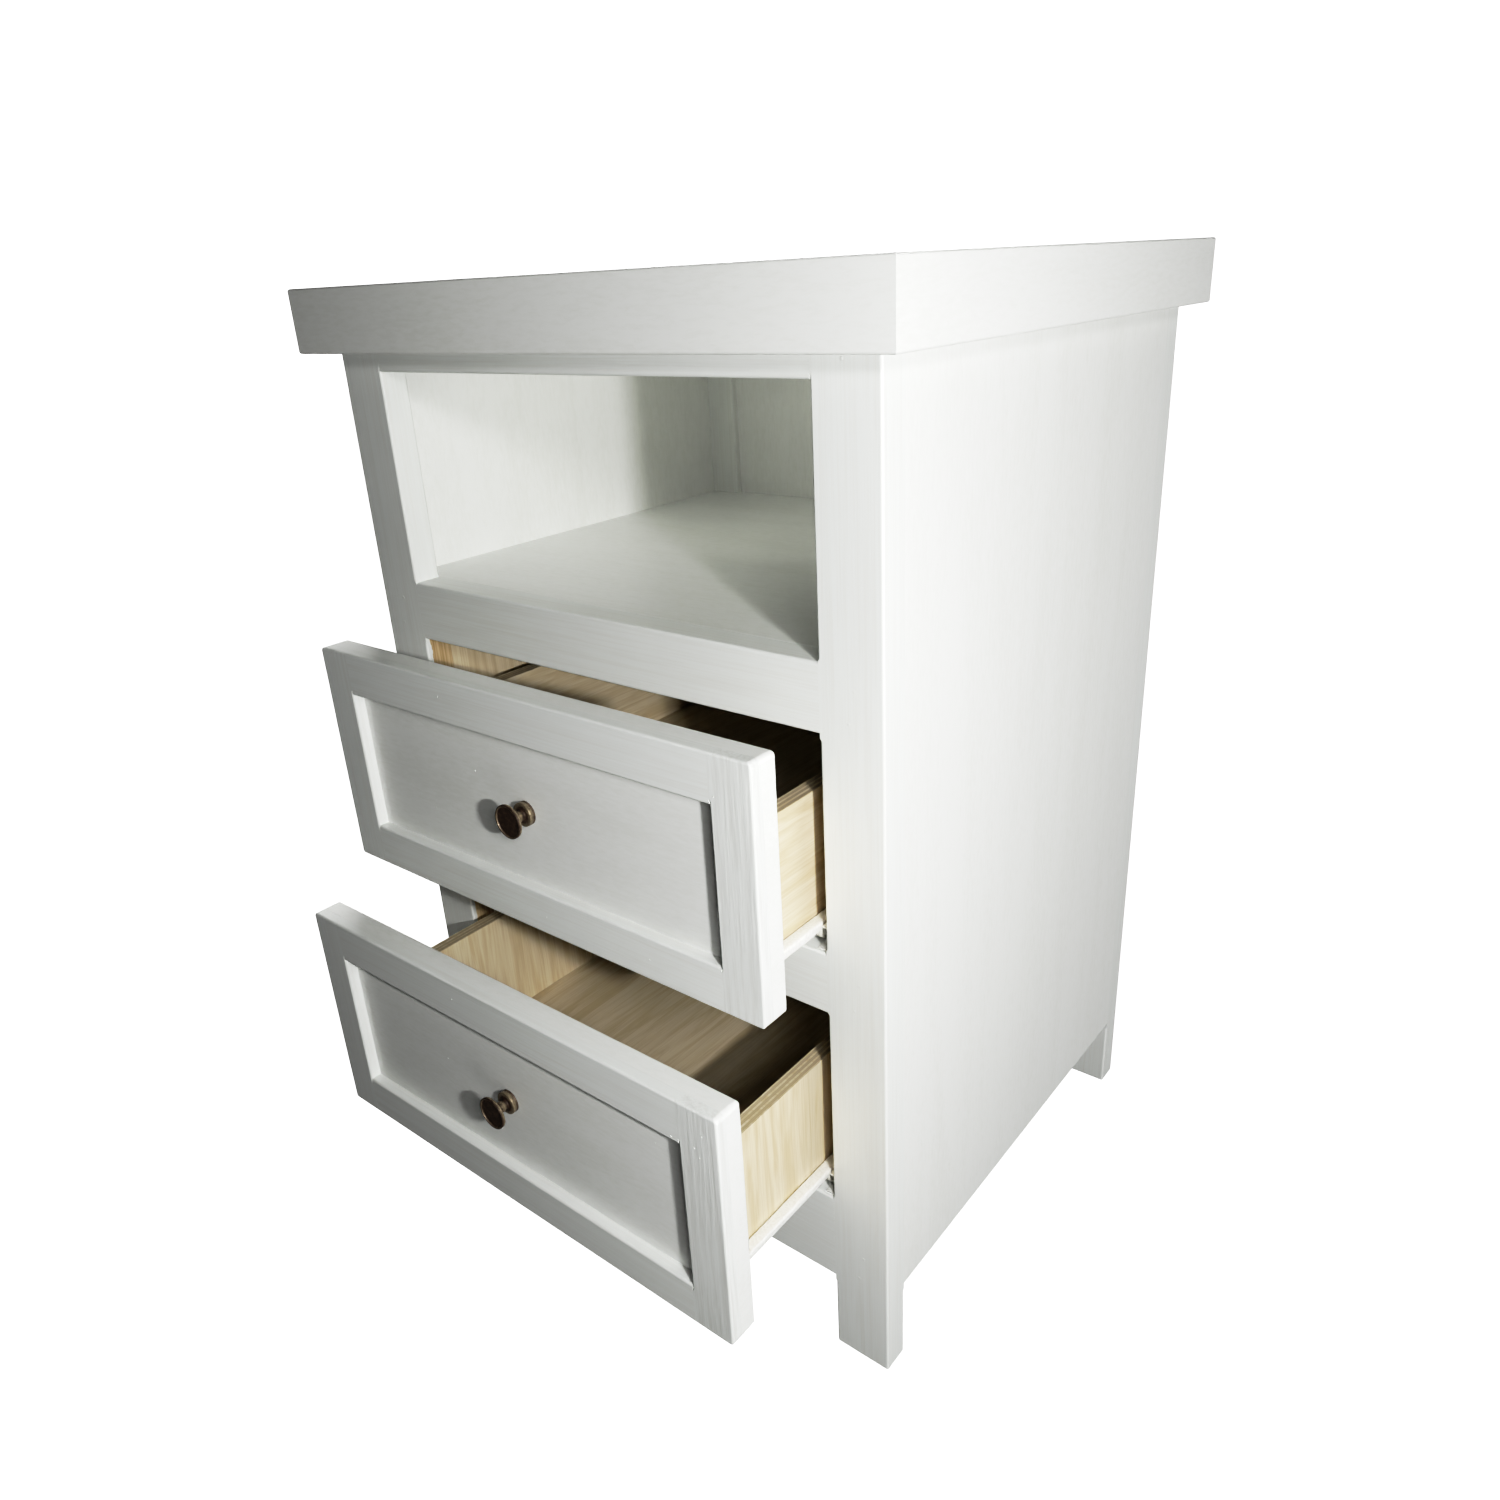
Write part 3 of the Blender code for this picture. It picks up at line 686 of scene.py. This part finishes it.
# rows of radius, reach, and how worn the metal is there, from the middle of the face back to the base
def knobProfile():
    length, base, stem, edge = knob["length"], knob["baseRadius"], knob["stemRadius"], knob["round"]
    rows = [(0.0, length - knob["dish"], 0.0)]
    dishRadius = knob["headRadius"] - knob["rim"] - knob["rimSlope"]
    count = int(dishRadius / knob["groovePitch"] * 4)
    for i in range(1, count + 1):
        radius = dishRadius * i / count
        wave = 0.5 - 0.5 * math.cos(math.tau * radius / knob["groovePitch"])
        rows.append((radius, length - knob["dish"] - knob["grooveDepth"] * wave, 0.15 * (1 - wave)))

    # an arc round a point, from one angle to another, in degrees from the outward direction
    def arc(radius, reach, size, start, end, wear):
        for i in range(5):
            angle = math.radians(start + (end - start) * i / 4)
            rows.append((radius + size * math.cos(angle), reach + size * math.sin(angle), wear))

    head, neck = knob["headRadius"], length - knob["headThickness"]
    arc(head - knob["rim"] + edge, length - edge, edge, 180, 90, 0.55)
    arc(head - edge, length - edge, edge, 90, 0, 0.1)
    rows.append((head, neck + edge * 1.5, 0.9))
    arc(head - edge, neck + edge, edge, 0, -90, 1.0)
    rows.append((stem + knob["flare"], neck - knob["relief"], 0.1))
    arc(stem + knob["flare"], neck - knob["relief"] - knob["flare"], knob["flare"], 90, 180, 0.1)
    shoulder = knob["baseHeight"]
    rows.append((stem + knob["stemSwell"], shoulder + knob["stemShoulder"], 0.75))
    rows.append((stem, shoulder + knob["stemWaist"], 0.3))
    arc(stem + knob["stemFillet"], shoulder + knob["stemFillet"], knob["stemFillet"], 180, 270, 0.0)
    arc(base - knob["baseRound"], shoulder - knob["baseRound"], knob["baseRound"], 90, 0, 0.9)
    rows.append((base, knob["beadTop"], 0.55))
    rows.append((base - knob["beadCut"], knob["beadTop"] - knob["beadSlope"], 0.2))
    rows.append((base - knob["beadCut"], knob["beadFoot"] + knob["beadSlope"], 0.2))
    rows.append((base, knob["beadFoot"], 0.5))
    rows.append((base, 0.0, 0.1))
    rows.append((0.0, 0.0, 0.0))
    return rows


def knobPiece(drawer):
    low, high = boxes[f"{drawer}_knob"]
    centre = Vector(((low.x + high.x) / 2, high.y, (low.z + high.z) / 2))
    rows = knobProfile()
    profile = [(radius * mm, reach * mm) for radius, reach, wear in rows]
    shape = turnedShape(profile, centre, (0, -1, 0), knob["steps"])
    mesh = toMesh(shape, f"{drawer}_knob_turned")
    mesh.set_sharp_from_angle(angle=math.radians(50))
    wear = mesh.attributes.new("wear", "FLOAT", "POINT")
    for vert in mesh.vertices:
        radius = math.hypot(vert.co.x - centre.x, vert.co.z - centre.z) / mm
        reach = (centre.y - vert.co.y) / mm
        nearest = min(rows, key=lambda row: (row[0] - radius) ** 2 + (row[1] - reach) ** 2)
        wear.data[vert.index].value = nearest[2]
    placePiece(f"{drawer}_knob_turned", mesh, "aged_bronze", f"{drawer}_drawer", f"{drawer}_knob")


for drawer in drawers:
    knobPiece(drawer)
print("knobs turned")

# folded steel slides: sections as widths out from the box side and heights over the rail, in millimetres
slide = {
    "steel": 1.0,
    "foldRadius": 0.9,
    "foldSteps": 5,
    "runner": [(-12.0, 5.2), (0.8, 5.2), (0.8, 17.5), (7.5, 17.5), (7.5, 13.5)],
    "channel": [(5.5, 0.8), (11.9, 0.8), (11.9, 15.7), (8.4, 15.7)],
    "deburr": 0.15,
}


# the section's corners become folds of an even radius
def foldedPath(corners):
    radius = slide["foldRadius"]
    path = [Vector(corners[0])]
    for before, corner, after in zip(corners, corners[1:], corners[2:]):
        back = (Vector(before) - Vector(corner)).normalized()
        on = (Vector(after) - Vector(corner)).normalized()
        centre = Vector(corner) + back * radius + on * radius
        for i in range(slide["foldSteps"] + 1):
            turn = math.pi / 2 * i / slide["foldSteps"]
            path.append(centre - on * (radius * math.cos(turn)) - back * (radius * math.sin(turn)))
    path.append(Vector(corners[-1]))
    return path


def slideMember(node, corners, side, railTop):
    boxSide = abs(boxes["upper_box_left"][0].x)
    low, high = boxes[node]
    shape = bmesh.new()
    rows = []
    for y in (low.y, high.y):
        rows.append([shape.verts.new((side * (boxSide + width * mm), y, railTop + height * mm))
                     for width, height in foldedPath(corners)])
    for (a, b), (c, d) in zip(zip(rows[0], rows[0][1:]), zip(rows[1], rows[1][1:])):
        shape.faces.new((a, b, d, c))
    mesh = toMesh(shape, node + "_folded")
    piece = placePiece(node + "_folded", mesh, "slide_enamel", bodyOf[node], node)
    wall = piece.modifiers.new("steel", "SOLIDIFY")
    wall.thickness = slide["steel"] * mm
    wall.offset = 0.0
    wall.use_even_offset = True
    edge = piece.modifiers.new("deburred", "BEVEL")
    edge.width = slide["deburr"] * mm
    edge.segments = 2
    edge.limit_method = "ANGLE"
    edge.angle_limit = math.radians(50)


for drawer, rail in (("upper", "rail_divider"), ("lower", "rail_bottom")):
    for name, side in sides.items():
        for member in ("channel", "runner"):
            slideMember(f"{drawer}_{member}_{name}", slide[member], side, boxes[rail][1].z)
print("slides folded")

# rollers and the pins they turn on, in millimetres from the roller's middle
roller = {
    "radius": 6.5,
    "bore": 2.3,
    "hub": 3.4,
    "hubSlope": 0.2,
    "web": 0.35,
    "rimWidth": 1.3,
    "rimSlope": 0.2,
    "rimRound": 0.5,
    "rimCut": 0.15,
    "steps": 64,
    "pinRadius": 2.0,
    "pinCrown": 1.2,
    "pinProud": 0.35,
    "pinShoulder": 0.05,
    "pinSunk": 0.4,
    "pinSteps": 32,
}


def roundPiece(name, profile, centre, along, steps, slot, body, node=None):
    shape = turnedShape([(radius * mm, reach * mm) for radius, reach in profile], centre, along, steps)
    mesh = toMesh(shape, name)
    mesh.set_sharp_from_angle(angle=math.radians(40))
    placePiece(name, mesh, slot, body, node)


def rollerPieces(drawer, end, name, side):
    node = f"{drawer}_{end}_roller_{name}"
    low, high = boxes[node]
    centre = (low + high) / 2
    half = (high.x - low.x) / 2 / mm
    radius, rim, cut, hub = roller["radius"], roller["rimRound"], roller["rimCut"], roller["hub"]
    inside = radius - roller["rimWidth"]
    dip = half - roller["web"]
    outer = [(roller["bore"], half), (hub, half), (hub + roller["hubSlope"], dip),
             (inside - roller["rimSlope"], dip), (inside, half), (radius - rim, half),
             (radius - cut, half - cut), (radius, half - rim)]
    wheel = outer + [(across, -reach) for across, reach in reversed(outer)]
    roundPiece(node + "_moulded", wheel, centre, (1, 0, 0), roller["steps"], "nylon", bodyOf[node], node)
    # the pin stands on the case's channel at the front, and on the drawer's runner at the rear
    inward, host = (-1, "case") if end == "front" else (1, f"{drawer}_drawer")
    proud = half + roller["pinProud"]
    sunk = -half - roller["pinSunk"]
    pin = [(0.0, proud), (roller["pinCrown"], proud), (roller["pinRadius"], half + roller["pinShoulder"]),
           (roller["pinRadius"], sunk), (0.0, sunk)]
    roundPiece(node + "_pin", pin, centre, (side * inward, 0, 0), roller["pinSteps"], "zinc_steel", host)


for drawer in drawers:
    for end in ("front", "rear"):
        for name, side in sides.items():
            rollerPieces(drawer, end, name, side)
print("rollers moulded")

for drawer in drawers:
    node = f"{drawer}_knob_screw"
    frame["nodes"][node].data.materials.clear()
    frame["nodes"][node].data.materials.append(finishes["zinc_steel"])


# starts a geometry node tree with its named inputs, and returns it with its input node
def newShapeTree(name, inputs):
    tree = bpy.data.node_groups.new(name, "GeometryNodeTree")
    tree.interface.new_socket("Geometry", in_out="INPUT", socket_type="NodeSocketGeometry")
    for label, (kind, value) in inputs.items():
        socket = tree.interface.new_socket(label, in_out="INPUT", socket_type="NodeSocket" + kind)
        socket.default_value = value
    tree.interface.new_socket("Geometry", in_out="OUTPUT", socket_type="NodeSocketGeometry")
    return tree, addNode(tree, "NodeGroupInput")


def endShapeTree(tree, shape, material):
    real = addNode(tree, "GeometryNodeRealizeInstances", {0: shape})
    coated = addNode(tree, "GeometryNodeSetMaterial", {"Geometry": real.outputs[0], "Material": material})
    addNode(tree, "NodeGroupOutput", {0: coated.outputs[0]})


# runs a tree on a base mesh, with its inputs set by their identifiers, and keeps the result as a plain mesh
def growShape(base, tree, values):
    holder = addObject("holder", base)
    modifier = holder.modifiers.new("grown", "NODES")
    modifier.node_group = tree
    for item in tree.interface.items_tree:
        if item.in_out == "INPUT" and item.name in values:
            modifier[item.identifier] = values[item.name]
    bpy.context.view_layer.update()
    evaluated = holder.evaluated_get(bpy.context.evaluated_depsgraph_get())
    mesh = bpy.data.meshes.new_from_object(evaluated)
    bpy.data.objects.remove(holder)
    return mesh


# scatters low domes on a base mesh's points: nibs of dust under the enamel, and filled brad heads
def domeTree(material):
    tree, group = newShapeTree("enamelDomes", {"Radius": ("Float", 0.5 * mm), "Height": ("Float", 0.2 * mm),
                               "Unevenness": ("Float", 0.5), "Seed": ("Int", 7)})
    ball = addNode(tree, "GeometryNodeMeshIcoSphere", {"Radius": 1.0, "Subdivisions": 2})
    least = addMath(tree, "SUBTRACT", 1.0, group.outputs["Unevenness"])
    size = addNode(tree, "FunctionNodeRandomValue", {2: least, 3: 1.0, "Seed": group.outputs["Seed"]},
                   data_type="FLOAT")
    normal = addNode(tree, "GeometryNodeInputNormal")
    turn = addNode(tree, "FunctionNodeAlignRotationToVector", {"Vector": normal.outputs[0]}, axis="Z")
    shape = addNode(tree, "ShaderNodeCombineXYZ", {0: group.outputs["Radius"], 1: group.outputs["Radius"],
                    2: group.outputs["Height"]})
    scaled = addNode(tree, "ShaderNodeVectorMath", {0: shape.outputs[0], 3: size.outputs[1]},
                     operation="SCALE")
    placed = addNode(tree, "GeometryNodeInstanceOnPoints", {"Points": group.outputs["Geometry"],
                     "Instance": ball.outputs[0], "Rotation": turn.outputs[0], "Scale": scaled.outputs[0]})
    endShapeTree(tree, placed.outputs[0], material)
    return tree


enamelDomes = domeTree(finishes["white_paint"])


# a point wherever a dome stands; each comes as a tiny triangle, so that it has a facing
def facedPoints(places, facing, size=0.01 * mm):
    shape = bmesh.new()
    facing = Vector(facing)
    across = facing.orthogonal().normalized()
    up = facing.cross(across)
    for place in places:
        corners = [Vector(place) + (across * math.cos(a) + up * math.sin(a)) * size for a in (0, 2.1, 4.2)]
        shape.faces.new([shape.verts.new(corner) for corner in corners])
    mesh = bpy.data.meshes.new("places")
    shape.to_mesh(mesh)
    shape.free()
    return mesh


def addDomes(name, body, places, facing, dome):
    values = {"Radius": dome["radius"] * mm, "Height": dome["height"] * mm, "Unevenness": dome["unevenness"]}
    mesh = growShape(facedPoints(places, facing), enamelDomes, values)
    mesh.shade_smooth()
    placePiece(name, mesh, "white_paint", body)


# nibs stand where the enamel caught dust, as (across, up) in millimetres on each drawer's panel and strips
nibs = {
    "upper": {"panel": [(-17.8, 408.8), (-45.0, 389.0), (83.0, 368.5), (-92.0, 352.0)],
              "strips": [(151.1, 424.6), (-60.0, 436.0), (12.0, 310.0), (96.0, 311.5)]},
    "lower": {"panel": [(126.8, 228.4), (-58.0, 201.0), (40.0, 171.0)],
              "strips": [(168.7, 259.4), (162.7, 249.2), (165.9, 244.4), (146.9, 248.7), (-30.0, 262.0)]},
    "radius": 0.55,
    "height": 0.30,
    "unevenness": 0.6,
}


def addNibs():
    for drawer in drawers:
        for part, node in (("panel", f"{drawer}_front_panel"), ("strips", f"{drawer}_strip_left")):
            face = boxes[node][0].y - board["coat"] * mm
            places = [(x * mm, face, z * mm) for x, z in nibs[drawer][part]]
            addDomes(f"{drawer}_{part}_nibs", f"{drawer}_drawer", places, (0, -1, 0), nibs)


# brads are punched in and filled over: two at each corner of the face frame, and a row round the back panel
brads = {
    "radius": 1.1,
    "height": 0.12,
    "unevenness": 0.3,
    "frameUp": (9.0, 27.0),
    "frameLean": (-1.6, 2.1),
    "rowSpacing": 62.0,
    "rowInset": 7.0,
}


def addBrads():
    face = boxes["stile_left"][0].y - board["coat"] * mm
    places = []
    for stile in ("stile_left", "stile_right"):
        low, high = boxes[stile]
        for rail in ("rail_top", "rail_middle", "rail_divider", "rail_bottom"):
            foot = boxes[rail][0].z
            places += [((low.x + high.x) / 2 + lean * mm, face, foot + up * mm)
                       for up, lean in zip(brads["frameUp"], brads["frameLean"])]
    addDomes("face_frame_brads", "case", places, (0, -1, 0), brads)
    low, high = boxes["back_panel"]
    inset = brads["rowInset"] * mm
    rear = high.y + board["coat"] * mm
    places = []
    for axis, other in ((0, 2), (2, 0)):
        length = high[axis] - low[axis] - 2 * inset
        count = round(length / (brads["rowSpacing"] * mm))
        for i in range(count + 1):
            for edge in (low[other] + inset, high[other] - inset):
                place = Vector((0, rear, 0))
                place[axis], place[other] = low[axis] + inset + length * i / count, edge
                places.append(place)
    addDomes("back_panel_brads", "case", places, (0, 1, 0), brads)


# a bead of caulk runs under the trim, where it meets the face frame and the sides
caulk = {
    "radius": 0.9,
    "waver": 0.25,
    "waverLength": 16.0,
    "step": 3.0,
    "sides": 10,
    "drop": 0.35,
    "out": 0.2,
    "endShort": 2.0,
}


def caulkTree(material):
    tree, group = newShapeTree("caulkBead", {"Radius": ("Float", 1.0 * mm), "Waver": ("Float", 0.2 * mm),
                               "Waver Length": ("Float", 16 * mm), "Step": ("Float", 3 * mm)})
    path = addNode(tree, "GeometryNodeMeshToCurve", {0: group.outputs["Geometry"]})
    even = addNode(tree, "GeometryNodeResampleCurve", {"Curve": path.outputs[0],
                   "Length": group.outputs["Step"]}, mode="LENGTH")
    at = addNode(tree, "GeometryNodeInputPosition")
    small = addMath(tree, "DIVIDE", 1.0, group.outputs["Waver Length"])
    drift = addNode(tree, "ShaderNodeTexNoise", {"Vector": at.outputs[0], "Scale": small})
    centred = addNode(tree, "ShaderNodeVectorMath", {0: drift.outputs[1], 1: (0.5, 0.5, 0.5)},
                      operation="SUBTRACT")
    offset = addNode(tree, "ShaderNodeVectorMath", {0: centred.outputs[0], 3: group.outputs["Waver"]},
                     operation="SCALE")
    moved = addNode(tree, "GeometryNodeSetPosition", {0: even.outputs[0], "Offset": offset.outputs[0]})
    ring = addNode(tree, "GeometryNodeCurvePrimitiveCircle", {"Resolution": caulk["sides"],
                   "Radius": group.outputs["Radius"]})
    bead = addNode(tree, "GeometryNodeCurveToMesh", {"Curve": moved.outputs[0],
                   "Profile Curve": ring.outputs[0], "Fill Caps": True})
    endShapeTree(tree, bead.outputs[0], material)
    return tree


def addCaulk():
    low, high = boxes["stile_left"][0], boxes["stile_right"][1]
    rear = boxes["side_left"][1].y - caulk["endShort"] * mm
    foot = boxes["trim_front"][0].z - caulk["drop"] * mm
    out = caulk["out"] * mm
    corners = [(low.x - out, rear, foot), (low.x - out, low.y - out, foot),
               (high.x + out, low.y - out, foot), (high.x + out, rear, foot)]
    path = bpy.data.meshes.new("caulkPath")
    path.from_pydata(corners, [(0, 1), (1, 2), (2, 3)], [])
    mesh = growShape(path, caulkTree(finishes["white_paint"]),
                     {"Radius": caulk["radius"] * mm, "Waver": caulk["waver"] * mm,
                      "Waver Length": caulk["waverLength"] * mm, "Step": caulk["step"] * mm})
    mesh.shade_smooth()
    placePiece("trim_caulk", mesh, "white_paint", "case")


# the saw leaves fine splinters standing along the top edges of the drawer boxes
splinters = {"length": 1.5, "radius": 0.09, "lean": 1.1, "spacing": 3.2, "inset": 0.6, "sunk": 0.25}


def splinterTree(material):
    tree, group = newShapeTree("sawnSplinters", {"Length": ("Float", 1.5 * mm),
                               "Radius": ("Float", 0.1 * mm), "Lean": ("Float", 1.0), "Seed": ("Int", 3)})
    cone = addNode(tree, "GeometryNodeMeshCone", {"Vertices": 5, "Radius Top": 0.0,
                   "Radius Bottom": group.outputs["Radius"], "Depth": group.outputs["Length"]})
    lean = group.outputs["Lean"]
    back = addMath(tree, "SUBTRACT", 0.0, lean)
    least = addNode(tree, "ShaderNodeCombineXYZ", {0: back, 1: back, 2: -3.14})
    most = addNode(tree, "ShaderNodeCombineXYZ", {0: lean, 1: lean, 2: 3.14})
    turn = addNode(tree, "FunctionNodeRandomValue", {0: least.outputs[0], 1: most.outputs[0],
                   "Seed": group.outputs["Seed"]}, data_type="FLOAT_VECTOR")
    size = addNode(tree, "FunctionNodeRandomValue", {2: 0.3, 3: 1.0, "Seed": group.outputs["Seed"]},
                   data_type="FLOAT")
    placed = addNode(tree, "GeometryNodeInstanceOnPoints", {"Points": group.outputs["Geometry"],
                     "Instance": cone.outputs[0], "Rotation": turn.outputs[0], "Scale": size.outputs[1]})
    endShapeTree(tree, placed.outputs[0], material)
    return tree


def addSplinters():
    tree = splinterTree(finishes["birch_plywood"])
    for seed, drawer in enumerate(drawers):
        luck = random.Random(drawer + "splinters")
        places = []
        for side in sides:
            low, high = boxes[f"{drawer}_box_{side}"]
            count = int((high.y - low.y) / (splinters["spacing"] * mm))
            inset = splinters["inset"] * mm
            left, right = low.x + inset, high.x - inset
            for i in range(count):
                edge = luck.choice((left, right, luck.uniform(left, right)))
                along = luck.uniform(low.y + inset, high.y - inset)
                places.append((edge, along, high.z - splinters["sunk"] * mm))
        points = bpy.data.meshes.new("splinterPlaces")
        points.from_pydata(places, [], [])
        mesh = growShape(points, tree, {"Length": splinters["length"] * mm, "Lean": splinters["lean"],
                         "Radius": splinters["radius"] * mm, "Seed": 3 + seed})
        grain = mesh.attributes.new("grain", "FLOAT_VECTOR", "POINT")
        for vert in mesh.vertices:
            grain.data[vert.index].vector = (ply["faceDepth"], vert.co.x, vert.co.y)
        placePiece(f"{drawer}_box_splinters", mesh, "birch_plywood", f"{drawer}_drawer")


addNibs()
addBrads()
addCaulk()
addSplinters()
print("nibs, brads, caulk and splinters added")

# the camera's place in metres, its turns in degrees and its lens in millimetres
camera = {
    "place": (0.4806, -0.5586, 0.6577),
    "heading": 39.705,
    "tilt": 66.959,
    "roll": -3.234,
    "lens": 27.158,
    "sensor": 36.0,
}


def addCamera():
    data = bpy.data.cameras.new("camera")
    data.lens = camera["lens"]
    data.sensor_width = camera["sensor"]
    data.clip_start = 0.01
    holder = addObject("camera", data)
    turn = Matrix.Rotation(math.radians(camera["heading"]), 4, "Z")
    turn = turn @ Matrix.Rotation(math.radians(camera["tilt"]), 4, "X")
    turn = turn @ Matrix.Rotation(math.radians(camera["roll"]), 4, "Z")
    holder.matrix_world = Matrix.Translation(camera["place"]) @ turn
    bpy.context.scene.camera = holder


# places and sizes in metres; the shelf and cubby ones stand for light that bounces about inside the cubby
lights = {
    "key": {"place": (0.68, -0.474, 0.603), "aim": (0.0, -0.05, 0.33), "size": (0.04, 0.018), "watts": 4.05},
    "high": {"place": (0.9, -0.76, 0.95), "aim": (0.0, -0.1, 0.35), "size": (0.3, 0.16), "watts": 3.3},
    "side": {"place": (1.5, 0.45, 0.34), "aim": (0.2, 0.15, 0.25), "size": (0.9, 0.6), "watts": 5.1},
    "bounce": {"place": (0.6, -0.55, 0.05), "aim": (0.0, -0.1, 0.16), "size": (0.25, 0.12), "watts": 0.4},
    "shelf": {"place": (-0.08, -0.06, 0.612), "aim": (-0.08, -0.02, 0.49), "size": (0.14, 0.06),
              "watts": 0.02},
    "cubby": {"place": (0.04, 0.02, 0.63), "aim": (-0.05, 0.22, 0.64), "size": (0.24, 0.03),
              "watts": 0.075, "colour": "#FFFFF8"},
    "rear": {"place": (-1.5, 1.9, 1.7), "aim": (0.0, 0.1, 0.4), "size": (1.6, 1.6), "watts": 75.0},
}


def addLights():
    for name, light in lights.items():
        data = bpy.data.lights.new(name, "AREA")
        data.shape = "RECTANGLE"
        data.size, data.size_y = light["size"]
        data.energy = light["watts"]
        data.color = linear(light.get("colour", "#FFFFFF"))[:3]
        aim = Vector(light["aim"]) - Vector(light["place"])
        turn = aim.to_track_quat("-Z", "Y").to_matrix().to_4x4()
        addObject(name, data).matrix_world = Matrix.Translation(light["place"]) @ turn


surroundings = {"fill": "#F4F2DC", "strength": 0.015, "backdrop": 2.0}


# the room is plain white to look at, and gives a weak warm fill
def addWorld():
    world = bpy.data.worlds.new("studio")
    bpy.context.scene.world = world
    world.use_nodes = True
    tree = world.node_tree
    tree.nodes.clear()
    fill = addNode(tree, "ShaderNodeBackground", {"Color": linear(surroundings["fill"]),
                   "Strength": surroundings["strength"]})
    seen = addNode(tree, "ShaderNodeBackground", {"Color": (1, 1, 1, 1),
                   "Strength": surroundings["backdrop"]})
    path = addNode(tree, "ShaderNodeLightPath")
    mix = addNode(tree, "ShaderNodeMixShader", {0: path.outputs["Is Camera Ray"], 1: fill.outputs[0],
                  2: seen.outputs[0]})
    addNode(tree, "ShaderNodeOutputWorld", {0: mix.outputs[0]})


# the floor looks white to the eye, but sends little light back up
floorSheet = {"size": 14.0, "glow": 1.6, "bounce": 0.12, "drop": 0.001}


def addFloor():
    shape = bmesh.new()
    bmesh.ops.create_grid(shape, x_segments=1, y_segments=1, size=floorSheet["size"] / 2)
    floor = addObject("floor", toMesh(shape, "floor"))
    floor.location.z = -floorSheet["drop"]
    material = bpy.data.materials.new("paleFloor")
    material.use_nodes = True
    tree = material.node_tree
    tree.nodes.clear()
    matte = addNode(tree, "ShaderNodeBsdfDiffuse", {"Color": [floorSheet["bounce"]] * 3 + [1.0]})
    glow = addNode(tree, "ShaderNodeEmission", {"Color": (1, 1, 1, 1), "Strength": floorSheet["glow"]})
    path = addNode(tree, "ShaderNodeLightPath")
    none = addNode(tree, "ShaderNodeEmission", {"Strength": 0.0})
    shown = addNode(tree, "ShaderNodeMixShader", {0: path.outputs["Is Camera Ray"], 1: none.outputs[0],
                    2: glow.outputs[0]})
    both = addNode(tree, "ShaderNodeAddShader", {0: matte.outputs[0], 1: shown.outputs[0]})
    addNode(tree, "ShaderNodeOutputMaterial", {0: both.outputs[0]})
    floor.data.materials.append(material)


addCamera()
addLights()
addWorld()
addFloor()
print("camera, lights and floor set")

# the picture's tone curve, as (light in, light out): steep in the middle, with a soft shoulder for the whites
toneCurve = [
    (0.03, 0.013),
    (0.17, 0.145),
    (0.242, 0.245),
    (0.352, 0.43),
    (0.515, 0.63),
    (0.73, 0.81),
    (1.0, 0.93),
]


def setTones():
    view = bpy.context.scene.view_settings
    view.view_transform = "Standard"
    view.use_curve_mapping = True
    curve = view.curve_mapping.curves[3]
    for lightIn, lightOut in toneCurve[:-1]:
        curve.points.new(lightIn, lightOut)
    curve.points[len(curve.points) - 1].location = toneCurve[-1]
    view.curve_mapping.update()


setTones()
